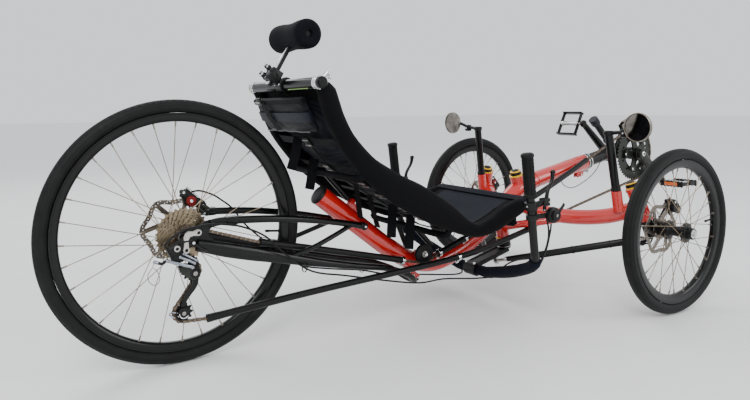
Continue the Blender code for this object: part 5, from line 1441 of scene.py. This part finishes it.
def rear_derailleur():
    shape = Shape()
    ell = mm2(18, 338.8, 23.4, 336.6, 25.6, 331.2, 23.4, 325.8, 18, 323.6, 7, 325, -1.2, 323.6, -5.8, 316,
              -4.8, 299, -4, 294, -5.8, 288.8, -11, 286.6, -16.2, 288.8, -18.2, 294, -15.8, 304, -16.4, 323,
              -12.8, 332, -6, 336.6)
    ell += [(0.005, 0.3356)]
    rings = [circle(0.004, 24, centre=(0.018, 0.3312)), circle(0.0042, 24, centre=(-0.011, 0.294))]
    flat_plate(shape, ell, 0.005, -0.096, PLATE, rings, 0.001)
    for x, z, radius in mm3(18, 331.2, 4, -11, 294, 4.2, -32, 300, 4):
        shape.rod((x, -0.07, z), (x, -0.0975, z), radius, SATIN, 24)
        shape.collar((x, -0.0985, z), Y, radius, radius + 0.0032, 0.0022, PLATE, 32, 0.0006)
    slope = Vector((0.88, 0, 0.47)).normalized()
    shape.block((-0.026, -0.086, 0.299), (0.052, 0.019, 0.03), SATIN, slope, ease=0.007, segments=4)
    shape.block((-0.023, -0.085, 0.279), (0.042, 0.02, 0.024), SATIN, (0.93, 0, 0.36), ease=0.006, segments=4)
    shape.rod((-0.03, -0.096, 0.313), (0.004, -0.0945, 0.315), 0.004, SATIN, 18)
    shape.rod((0.001, -0.074, 0.31), (0.001, -0.096, 0.31), 0.011, SATIN, 32, 0.2)
    shape.bolt((0.006, -0.099, 0.309), -Y, CHROME, 0.0034, 0.0016)
    shape.tube(smooth(mm3(8, -92, 305, 18, -90, 298, 32, -86, 288, 48, -80, 284), 4),
               0.0042, SATIN, 16)
    for start, end, wide in (((-0.055, -0.101, 0.276), (0.001, -0.101, 0.2545), 0.007),
                             ((-0.026, -0.1, 0.281), (0.006, -0.1, 0.263), 0.006),
                             ((-0.018, -0.0985, 0.287), (0.012, -0.0985, 0.268), 0.005)):
        start, end = Vector(start), Vector(end)
        shape.block((start + end) / 2, ((end - start).length, 0.005, wide), LINK, end - start, ease=0.002,
                    segments=3)
        for tip in (start, end):
            shape.rod(tip - Y * 0.0032, tip + Y * 0.006, wide * 0.6, LINK, 24, 0.3)
            shape.bolt(tip - Y * 0.003, -Y, STEEL, wide * 0.34, 0.001)
    knuckle = mm2(-29, 256, -18, 262, 4, 256, 18, 250, 24, 240, 20, 228, 10, 222, -2, 224, -16, 235, -26, 244)
    flat_plate(shape, knuckle, 0.016, -0.088, OLIVE, ease=0.003)
    shape.rod((0.008, -0.07, 0.238), (0.008, -0.0985, 0.238), 0.0115, SATIN, 36, 0.2)
    shape.bolt((0.008, -0.0985, 0.238), -Y, STEEL, 0.005, 0.0014)
    barrel = mm3(-52, -94, 278, -66, -96, 270, -76, -98, 274, -85, -99, 278.5)
    for start, end in zip(barrel, barrel[1:3]):
        shape.rod(start, end, 0.0034, SATIN, 16)
    shape.rod(*barrel[2:], 0.0036, LINK, 18)
    cage = smooth(mm3(12, 0, 268, 18, 0, 248, 16.5, 0, 224, 13, 0, 205, 0, 0, 188, -11, 0, 173, -16.5, 0,
                      158), 5)
    wide = [(1.25 - 0.55 * k / (len(cage) - 1), 1.0) for k in range(len(cage))]
    for y, finish in ((-0.0735, SATIN), (-0.0545, PLASTIC)):
        shape.sweep([p + Y * y for p in cage], mm2(-6.5, -1.1, 6.5, -1.1, 6.5, 1.1, -6.5, 1.1),
                    finish, Y, scales=wide)
        shape.collar(at_y(TENSION, y), Y, 0.004, 0.0135, 0.0022, finish, 40, 0.0005)
        shape.collar(at_y(GUIDE, y), Y, 0.004, 0.011, 0.0022, finish, 40, 0.0005)
    shape.tube(arc(at_y(TENSION, -0.075), 0.0108, 175, 330, 16), 0.0014, CHROME, 10)
    shape.tube(arc(at_y(TENSION, -0.075), 0.0185, 160, 262, 14), 0.0016, SATIN, 10)
    tab = [at_y(TENSION, -0.074) + Vector(p) for p in mm3(-15, 0, 4, -29, 0, 7.5, -33, 0, 2, -22, 0, -6)]
    shape.tube(smooth(tab, 4), 0.0018, LINK, 12)
    for centre in (GUIDE, TENSION):
        shape.rod(at_y(centre, -0.054), at_y(centre, -0.0745), 0.0036, STEEL, 18)
        shape.bolt(at_y(centre, -0.0745), -Y, STEEL, 0.0046, 0.0016)
    shape.make("rear_mech", "frame", "black_alloy", "rear_derailleur")
    loop = mm3(-84, -99, 277, -88, -100, 266, -98.5, -100.5, 251, -96, -101, 235, -84, -101, 226, -73.5,
               -100.5, 236, -77, -99.5, 254, -85, -98.5, 264)
    line = smooth(loop, 5)
    radius = 0.0009
    wire = Shape().tube(line, radius, ROTOR, 10).make("shift_wire_end", "frame", "steel", sharp=60)
    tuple(line[0])
    run_length(line)


# Steering ---------------------------------------------------------------------

BAR_SIDE = mm3(943, 60, 95, 931, 160, 122, 915, 245, 152, 896, 292, 180)


def steering():
    low = STEER_POINT - STEER_AXIS * 0.026
    shape = Shape()
    shape.rod(low - STEER_AXIS * 0.034, STEER_POINT + STEER_AXIS * 0.03, STEERER_RADIUS, STEEL, 32)
    cup = mm2(14.2, -38, 20.5, -37.2, 21.8, -34, 21.8, -6, 21.2, -2.5, 14.2, -1.8)
    shape.lathe(cup, low, STEER_AXIS, SATIN, 48, closed=True)
    for along in (-0.0095, -0.03):
        shape.ring(low + STEER_AXIS * along, STEER_AXIS, 0.0217, 0.0009, ALLOY)
    run = (BAR_CENTRE + Z * 0.012) - (low - STEER_AXIS * 0.04)
    middle = (low - STEER_AXIS * 0.04) + run * 0.52
    shape.block(middle, (run.length, 0.052, 0.011), SATIN, run, ease=0.004, segments=3)
    for _, side in SIDES:
        shape.block(middle + Y * side * 0.02 + Z * 0.004, (run.length * 0.9, 0.006, 0.01), SATIN, run,
                    ease=0.002)
    shape.collar(BAR_CENTRE, Y, 0.0114, 0.0218, 0.05, SATIN, 44, 0.003)
    for y in (0.018, -0.018):
        for x, z, lean in ((-0.01, 0.019, -0.3), (0.012, 0.017, 0.4)):
            shape.bolt(BAR_CENTRE + Vector((x, y, z)), Vector((lean, 0, 1)), CHROME, 0.0042, 0.0036)
    for _, side in SIDES:
        centre = on_side(TIE_INNER, side)
        shape.rod(centre - TIE_AXIS * 0.008, centre + TIE_AXIS * 0.012, 0.004, STEEL, 20)
        shape.disc(0.0075, 0, 0.0046, centre - TIE_AXIS * 0.011, TIE_AXIS, CHROME, 6)
        shape.disc(0.0068, 0, 0.004, centre + TIE_AXIS * 0.005, TIE_AXIS, CHROME, 6)
        shape.bolt(centre + TIE_AXIS * 0.0085, TIE_AXIS, CHROME, 0.005, 0.003)
    shape.make("stem", "steering", "black_alloy", "steering_stem")

    bar = Shape()
    bend = smooth([*BAR_SIDE, bar_at(1, 0.212)], 6)
    half = [BAR_CENTRE, *bend, GRIP_TOP - BAR_LEAN * 0.01]
    bar.tube(line_on_side(half[::-1], -1) + half[1:], 0.0111, BLACK, 32)
    bar.make("bar", "steering", "black_paint", "handlebar")
    for label, side in SIDES:
        sleeve_line = line_on_side([*mm3(943, 28, 95, 943, 44, 95), *bend[:21]], side)
        sizes = [0.92] + [1 + 0.02 * sin(k * 1.7) for k in range(len(sleeve_line) - 2)] + [0.92]
        sleeve = Shape().tube(sleeve_line, 0.0166, NAVY_FOAM, 32, scales=sizes)
        sleeve.make("foam_sleeve_" + label, "steering", "foam")
        grip(label, side)
        lever_mount(label, side)
        brake_lever(label, side)
    shift_lever()


def grip(label, side):
    """A rubber grip: a domed flared end, and a grid of raised blocks between grooves."""
    place = frame_at(on_side(GRIP_TOP, side), BAR_LEAN)
    end = mm2(0, 0, 13.5, -0.2, 16, -2, 18, -6, 17.2, -10, 15.8, -13, 15, -15, 0, -15)
    shape = Shape().lathe(end, None, None, GRIP, 48, matrix=place)
    heights = []
    for k in range(10):
        top = -0.015 - k * 0.0096
        heights += [(top, 0), (top - 0.0004, 1), (top - 0.008, 1), (top - 0.0084, 0)]
    rows = []
    for k, a in enumerate(turns(96)):
        raised = k % 8 not in (0, 7)
        row = [(0.0146 + 0.0014 * (raised and lifted), z) for z, lifted in heights]
        row += mm2(16.5, -112, 18, -113.5, 18.2, -118, 16.5, -119.8, 11.3, -119.8, 11.3, -14.8)
        rows.append([polar(r, a, z) for r, z in row])
    shape.loft(rows, GRIP, place, closed=True)
    shape.make("grip_rubber_" + label, "steering", "grip", "grip_" + label)


def lever_mount(label, side):
    centre, low = bar_at(side, 0.343), bar_at(side, 0.312)
    pivot = on_side(LEVER_PIVOT, side)
    pod = on_side(SHIFTER, side)
    shape = Shape()
    shape.collar(centre, BAR_LEAN, 0.0112, 0.0168, 0.022, SATIN, 40, 0.0015)
    shape.collar(low, BAR_LEAN, 0.0112, 0.0158, 0.014, SATIN, 40, 0.0012)
    shape.tube(smooth([centre + X * 0.012, (centre + pivot) / 2 + X * 0.004, pivot - X * 0.006], 4), 0.0088,
               SATIN, 24, scales=[1.1 - 0.03 * k for k in range(9)])
    for way in (1, -1):
        shape.block(pivot + Vector((-0.004, way * 0.0078, 0)), (0.024, 0.0036, 0.021), SATIN, ease=0.0015)
    shape.pin(pivot + X * 0.003, Y * 0.011, 0.003, STEEL, 16)
    barrel = pivot + mm(-4, 0, -12)
    shape.rod(barrel, barrel - Z * 0.014, 0.0048, SATIN, 20)
    shape.ring(barrel - Z * 0.01, Z, 0.0048, 0.0008, ALLOY, 20, 8)
    profile = mm2(0, 9.2, 12, 9.2, 18, 8.2, 21.2, 5.5, 22, 1.5, 22, -4, 20.5, -7.2, 15, -9, 0, -9)
    shape.lathe(profile, pod, Y * side, PLASTIC, 48)
    shape.ring(pod + Y * side * 0.0088, Y, 0.013, 0.0008, SATIN, 40, 8)
    shape.bolt(pod + Y * side * 0.0086, Y * side, STEEL, 0.003, 0.0014)
    shape.rod(low + X * 0.013, pod - Y * 0.004 * side, 0.007, SATIN, 20)
    shape.rod(centre + mm(14, 0, -6), low + mm(14, 0, 5), 0.005, SATIN, 16)
    shape.bolt(centre + mm(-15.8, 0, 0), -X, CHROME, 0.0034, 0.0024)
    shape.make("lever_clamp_" + label, "steering", "plastic", "lever_mount_" + label)


def brake_lever(label, side):
    foot = on_side(LEVER_PIVOT, side) + X * 0.004
    tip = on_side((0.938, 0.312, 0.43), side)
    bow = (tip - foot).cross(Y).normalized()
    steps = [k / 14 for k in range(15)]
    line = [foot + (tip - foot) * s + bow * 0.0045 * sin(TAU * s * 0.95) for s in steps]
    sizes = [1.0 - 0.22 * sin(pi * s) for s in steps]
    shape = Shape().sweep(line, oval(0.0056, 0.0066, 20), BLACK, bow, scales=sizes)
    shape.pin(foot, Y * 0.0046, 0.0068, PLASTIC, 28, 0.2)
    shape.pin(tip + X * 0.002, Y * 0.0052, 0.0068, BLACK, 28, 0.35)
    shape.make("lever_blade_" + label, "brake_lever_" + label, "plastic", "brake_lever_" + label)


def shift_lever():
    centre = on_side(SHIFTER, -1) - Y * 0.0125
    shape = Shape()
    shape.lathe(mm2(0, 3, 13, 3, 15, 1.8, 15, -2, 13, -3.4, 0, -3.4), centre, -Y, PLASTIC, 40)
    shape.bolt(centre - Y * 0.003, -Y, STEEL, 0.0042, 0.0016)
    line = [centre + Vector(p) for p in mm3(6, -1, 6, 14, -1, 15, 22, -0.8, 22, 30, 0.4, 29)]
    sizes = [1 - 0.015 * k for k in range(13)]
    shape.sweep(smooth(line, 4), oval(0.0022, 0.0056, 16), PLASTIC, (-1, 0, 1), scales=sizes)
    shape.make("shift_paddle", "shift_lever", "plastic", "shift_lever")


def tie_rod(label, side):
    inner, outer = on_side(TIE_INNER, side), on_side(TIE_OUTER, side)
    line = (outer - inner).normalized()
    shape = Shape()
    for end, way in ((inner, 1), (outer, -1)):
        shape.collar(end, TIE_AXIS, 0.0046, 0.0095, 0.009, STEEL, 32, 0.0014)
        shape.rod(end + line * way * 0.007, end + line * way * 0.036, 0.0048, STEEL, 20)
        place = frame_at(end + line * way * 0.03, line * way)
        shape.lathe(mm2(4.5, -3, 7.8, -3, 7.8, 3, 4.5, 3), None, None, CHROME, 6, closed=True, matrix=place)
    shape.rod(inner + line * 0.033, outer - line * 0.033, 0.0085, BLACK, 32)
    shape.make("rod_" + label, "tie_rod_" + label, "black_paint", "tie_rod_" + label)


def knuckle(label, side):
    body = "knuckle_" + label
    axis = on_side(KINGPIN_AXIS, side)
    shape = Shape()
    crown = mm2(0, -28.5, 15, -28.5, 17.8, -26.2, 18, 19.5, 17.2, 22.2, 0, 22.2)
    shape.lathe(crown, kingpin_at(side, 0), axis, SATIN, 44)
    shape.rod(kingpin_at(side, 0.02), kingpin_at(side, 0.128), STEERER_RADIUS, STEEL, 28)
    top = kingpin_at(side, 0.1238)
    headset(shape, top, axis, 0.02)
    foot = Vector((WHEELBASE, side * 0.338, FRONT_RADIUS))
    shape.rod(foot, foot + Y * side * 0.031, 0.0152, SATIN, 36)
    shape.rod(foot + Y * side * 0.028, foot + Y * side * 0.126, 0.0085, STEEL, 28)
    arm_foot = kingpin_at(side, -0.024)
    arm_head = on_side(TIE_OUTER, side) - TIE_AXIS * 0.015
    shape.tube([arm_foot, arm_foot.lerp(arm_head, 0.5), arm_head], 0.008, SATIN, 28, scales=[1.15, 0.9, 0.75])
    shape.pin(arm_head, TIE_AXIS * 0.0045, 0.0095, SATIN, 28)
    shape.bolt(arm_head - TIE_AXIS * 0.004, -TIE_AXIS, CHROME, 0.006, 0.0036)
    tab_foot = Vector((WHEELBASE + 0.0133, side * 0.3538, FRONT_RADIUS - 0.001))
    tab_head = Vector((WHEELBASE + 0.0693, side * 0.3538, FRONT_RADIUS + 0.059))
    shape.block((tab_foot + tab_head) / 2, ((tab_head - tab_foot).length, 0.022, 0.006), SATIN,
                tab_head - tab_foot, Y, 0.0025)
    shape.make("kingpin_" + label, body, "black_alloy", "knuckle_" + label)
    disc = Vector((WHEELBASE, side * 0.375, FRONT_RADIUS))
    caliper_piece("caliper_" + label, body, disc, (0.68, 0, 0.73), Y * -side, 0.034, "brake_caliper_" + label)


def mirrors():
    for label, side in SIDES:
        foot, top = on_side(POST_FOOT, side), on_side(POST_TOP, side)
        shape = Shape()
        shape.rod(foot, top, 0.0124, BLACK, 36)
        shape.collar(foot.lerp(top, 0.03), top - foot, 0.0122, 0.0142, 0.01, SATIN, 36)
        shape.rod(top - Z * 0.004, top + Z * 0.01, 0.0155, SATIN, 36, 0.2)
        elbow = on_side((1.2245, 0.33, 0.532), side)
        end = on_side((1.2235, MIRROR.y - 0.012, 0.5455), side)
        shape.tube(smooth([top + Z * 0.003, top.lerp(elbow, 0.5) + Z * 0.001, elbow, end], 5), 0.0056, SATIN,
                   24)
        shape.block(elbow - Z * 0.004, (0.017, 0.022, 0.024), SATIN, X, ease=0.004, segments=3)
        shape.pin(elbow - Z * 0.004, X * 0.011, 0.0046, SATIN, 20)
        shape.bolt(elbow + mm(-10.5, 0, -4), -X, CHROME, 0.003, 0.002)
        shape.make("mirror_stalk_" + label, "frame", "black_paint", "mirror_post_" + label)
        head = Shape()
        centre = on_side(MIRROR, side) - X * 0.008
        case = mm2(0, 30.5, 6, 30.5, 8.8, 29, 9, 19, 14, 16.2, 27, 14.8, 35.5, 12.8, 40.5, 9, 41, 6, 40, 3,
                   38, 3, 38, 4, 0, 4)
        head.lathe(case, centre, X, PLASTIC, 64)
        rim_line = mm2(38.8, 3.8, 38.8, 0.6, 39.8, 0.1, 41.4, 1.2, 41.6, 6, 40.8, 7.2, 40.5, 3.8)
        head.lathe(rim_line, centre, X, ROTOR, 64, closed=True)
        # The mirror's face, tinted with the painted reflection.
        head.lathe(mm2(0, 2, 20, 2.2, 38.9, 3, 38.9, 4.1, 0, 4.1), centre, X, PAINTED_REFLECTION_GLASS, 64)
        head.make("mirror_head_" + label, "mirror_" + label, "mirror", "mirror_" + label)


def headrest():
    slide = (ROLLER - HEAD_HINGE).normalized()
    rearward = slide.cross(Y)
    shape = Shape()
    shape.collar(CROSSBAR, Y, 0.0146, 0.0205, 0.034, SATIN, 44, 0.002)
    for way in (1, -1):
        shape.bolt(CROSSBAR + Vector((-0.0195, way * 0.011, 0.002)), Vector((-1, 0, 0.1)), CHROME, 0.0036,
                   0.003)
    arm_at = (CROSSBAR + HEAD_HINGE) / 2 + mm(-6, 0, 3)
    shape.block(arm_at, (0.02, 0.022, 0.013), SATIN, HEAD_HINGE - CROSSBAR, ease=0.003)
    for way in (1, -1):
        shape.block(HEAD_HINGE + Y * way * 0.0142, (0.036, 0.0058, 0.033), SATIN, slide, ease=0.0026)
        shape.bolt(HEAD_HINGE + Y * way * 0.0166, Y * way, SATIN, 0.007, 0.003)
        shape.block(HEAD_HINGE + rearward * way * 0.0112, (0.036, 0.03, 0.0088), SATIN, slide, ease=0.002)
    for shift, y in ((0.0105, -0.004), (-0.0105, 0.004)):
        start = HEAD_HINGE + slide * shift + rearward * 0.014 + Y * y
        shape.rod(start, start + rearward * 0.02, 0.0042, CHROME, 18)
        shape.rod(start + rearward * 0.005, start + rearward * 0.013, 0.0076, SATIN, 28, 0.3)
        shape.disc(0.0062, 0, 0.0035, start + rearward * 0.0145, rearward, CHROME, 6)
        shape.rod(start + rearward * 0.017, start + rearward * 0.02, 0.0052, PLASTIC, 24, 0.5)
    shape.make("headrest_clamp", "headrest_bracket", "black_paint", "headrest_bracket")

    post = Shape()
    post.block(HEAD_HINGE + slide * 0.04, (0.138, 0.0215, 0.01), SATIN, slide, ease=0.0022, segments=3)
    post.block(HEAD_HINGE + slide * 0.04 + rearward * 0.005, (0.134, 0.015, 0.0016), CHROME, slide,
               ease=0.0006)
    for k in range(6):
        mark = HEAD_HINGE + slide * (0.026 + k * 0.009) - rearward * 0.0051
        post.block(mark, (0.0014, 0.014, 0.0006), ALLOY, slide, ease=0.0002)
    post.pin(ROLLER, Y * 0.079, 0.008, PLASTIC, 24)
    post.make("headrest_stem", "headrest", "alloy", "headrest_post")
    profile = mm2(8.5, 80, 8.8, 85.5, 11, 87.8, 24, 88, 30.5, 86.6, 35, 82.5, 37.2, 77, 37.6, 69, 37, 48,
                  35.6, 30, 34.5, 14, 34.2, 0)
    profile += [(r, -h) for r, h in profile[-2::-1]]
    roller = Shape().lathe(profile, ROLLER, Y, FOAM, 72, closed=True)
    piece = roller.make("headrest_foam", "headrest", "foam", "headrest_roller", sharp=70)


# Cables -----------------------------------------------------------------------

SHIFT_CABLE = mm3(860, -37, 118, 780, -50, 96, 680, -60, 102, 560, -62, 128, 430, -64, 162, 320, -77, 193,
                  240, -90, 250, 185, -96, 302, 130, -99, 331, 90, -100, 342, 45, -101, 348, -9, -102, 343,
                  -40, -102, 330, -58, -101, 312, -52, -99, 298)
BRAKE_CABLE = mm3(860, 37, 110, 760, 48, 90, 660, 56, 102, 560, 64, 129, 450, 70, 148, 362, 75, 170, 295, 76,
                  218, 242, 76, 264, 200, 76, 304, 164, 75, 351, 132, 72, 377, 112, 61, 390, 90, 52, 400, 68,
                  48, 407, 48, 47, 406)
CABLE_RADIUS = 0.0024


def cable(name, points, body=None, blended=None, replaces=(), radius=CABLE_RADIUS):
    line = smooth(points, 5)
    piece = Shape().tube(line, radius, PLASTIC, 12).make(name, body, "plastic", replaces, sharp=60)
    if blended:
        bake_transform(piece)
    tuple(line[0])
    run_length(line)


def down_bar(side, gap):
    """Points for a cable from the controls down the upright and along the lower bar."""
    line = ((0.925, 0.316, 0.262, 0.6), (0.922, 0.303, 0.205, 0.5), (0.934, 0.258, 0.146, 0.4),
            (0.946, 0.17, 0.106, 0.4), (0.956, 0.085, 0.083, 0.3))
    return [on_side((x + gap * share, y, z), side) for x, y, z, share in line]


def cables():
    steer = ("frame", "steering", (0.8, 0, 0.1), (0.9, 0, 0.1))
    lever_end, shifter_end = (0.911, 0.315, 0.323), (0.9255, 0.3215, 0.2905)
    shift = [on_side(shifter_end, -1), *down_bar(-1, 0.004), (0.915, -0.03, 0.072), *SHIFT_CABLE[1:]]
    cable("cable_shift", shift, blended=steer, replaces="shift_cable")
    rear = [on_side(lever_end, 1), *down_bar(1, 0.002), (0.915, 0.034, 0.072), *BRAKE_CABLE[1:]]
    cable("cable_rear_brake", rear, blended=steer, replaces="brake_cable")
    under_boom = mm3(1318, -27, 370, 1328, -24, 348, 1351, -20, 331, 1393, -20, 322, 1457, -20, 341, 1506,
                     -22, 370, 1533, -23, 401, 1545, -20, 418)
    cable("cable_front_mech", under_boom, body="frame", radius=0.0014)
    for label, side in SIDES:
        inner, outer = on_side(TIE_INNER, side), on_side(TIE_OUTER, side)
        run = outer - inner
        line = run.normalized()
        out = Vector((-0.25, 0, -0.97)).normalized()
        start, gap = (lever_end, -0.004) if side < 0 else ((0.926, 0.322, 0.292), -0.006)
        route = [on_side(start, side), *down_bar(side, gap), on_side((0.985, 0.045, 0.072), side)]
        route += [inner + line * s * run.length + out * 0.0115 for s in (0.12, 0.3, 0.5, 0.7, 0.86, 0.95)]
        blended = ("steering", "tie_rod_" + label, inner + line * 0.02, inner + line * 0.08)
        cable("cable_front_" + label, route, blended=blended)
        ties = Shape()
        for s in (0.3, 0.55, 0.8):
            ties.collar(inner + line * s * run.length + out * 0.003, line, 0.0116, 0.0125, 0.003, PLASTIC, 28,
                        0.0003)
        ties.make("rod_ties_" + label, "tie_rod_" + label, "plastic")
        joint = outer + out * 0.016 + line * 0.004
        ends = [joint, joint + line * 0.02 - Z * 0.004, on_side((1.322, 0.352, 0.19), side)]
        ends += line_on_side(mm3(1362, 338, 205, 1378, 330, 240), side)
        ends.append(on_side((WHEELBASE + 0.018, 0.331, FRONT_RADIUS + 0.052), side) + X * 0.014)
        cable("cable_end_" + label, ends, body="knuckle_" + label)
    ties = Shape()
    for point in mm3(560, 60, 136, 300, 75.5, 208, 300, -74.5, 206):
        ties.collar(point, (0.97, 0, -0.24), 0.0122, 0.0132, 0.0032, PLASTIC, 28, 0.0003)
    ties.make("stay_ties", "frame", "plastic")


# Assembly ---------------------------------------------------------------------


def floor():
    finish = material("studio_floor", grey(0.84), grey(0.88), 0.55, specular=0.2, grain=3, bump=0.02)
    shape = Shape().block((0.8, 0, -0.0055), (60, 60, 0.01), finish)
    ground = shape.make("floor", None)


set_stage()
floor()
rear_wheel()
for wheel_label, wheel_side in SIDES:
    front_wheel(wheel_label, wheel_side)
    knuckle(wheel_label, wheel_side)
    tie_rod(wheel_label, wheel_side)
    pedal(wheel_label, wheel_side)
main_frame()
rear_triangle()
caliper_piece("caliper_rear", "frame", REAR_DISC, (0.6, 0, 0.8), -Y, 0.024, "brake_caliper_rear", 1.55)
front_end()
seat()
pocket()
webbing_straps()
spine_strap()
chain()
guard_tubes()
cassette()
cranks()
pulleys()
rear_derailleur()
steering()
mirrors()
headrest()
cables()
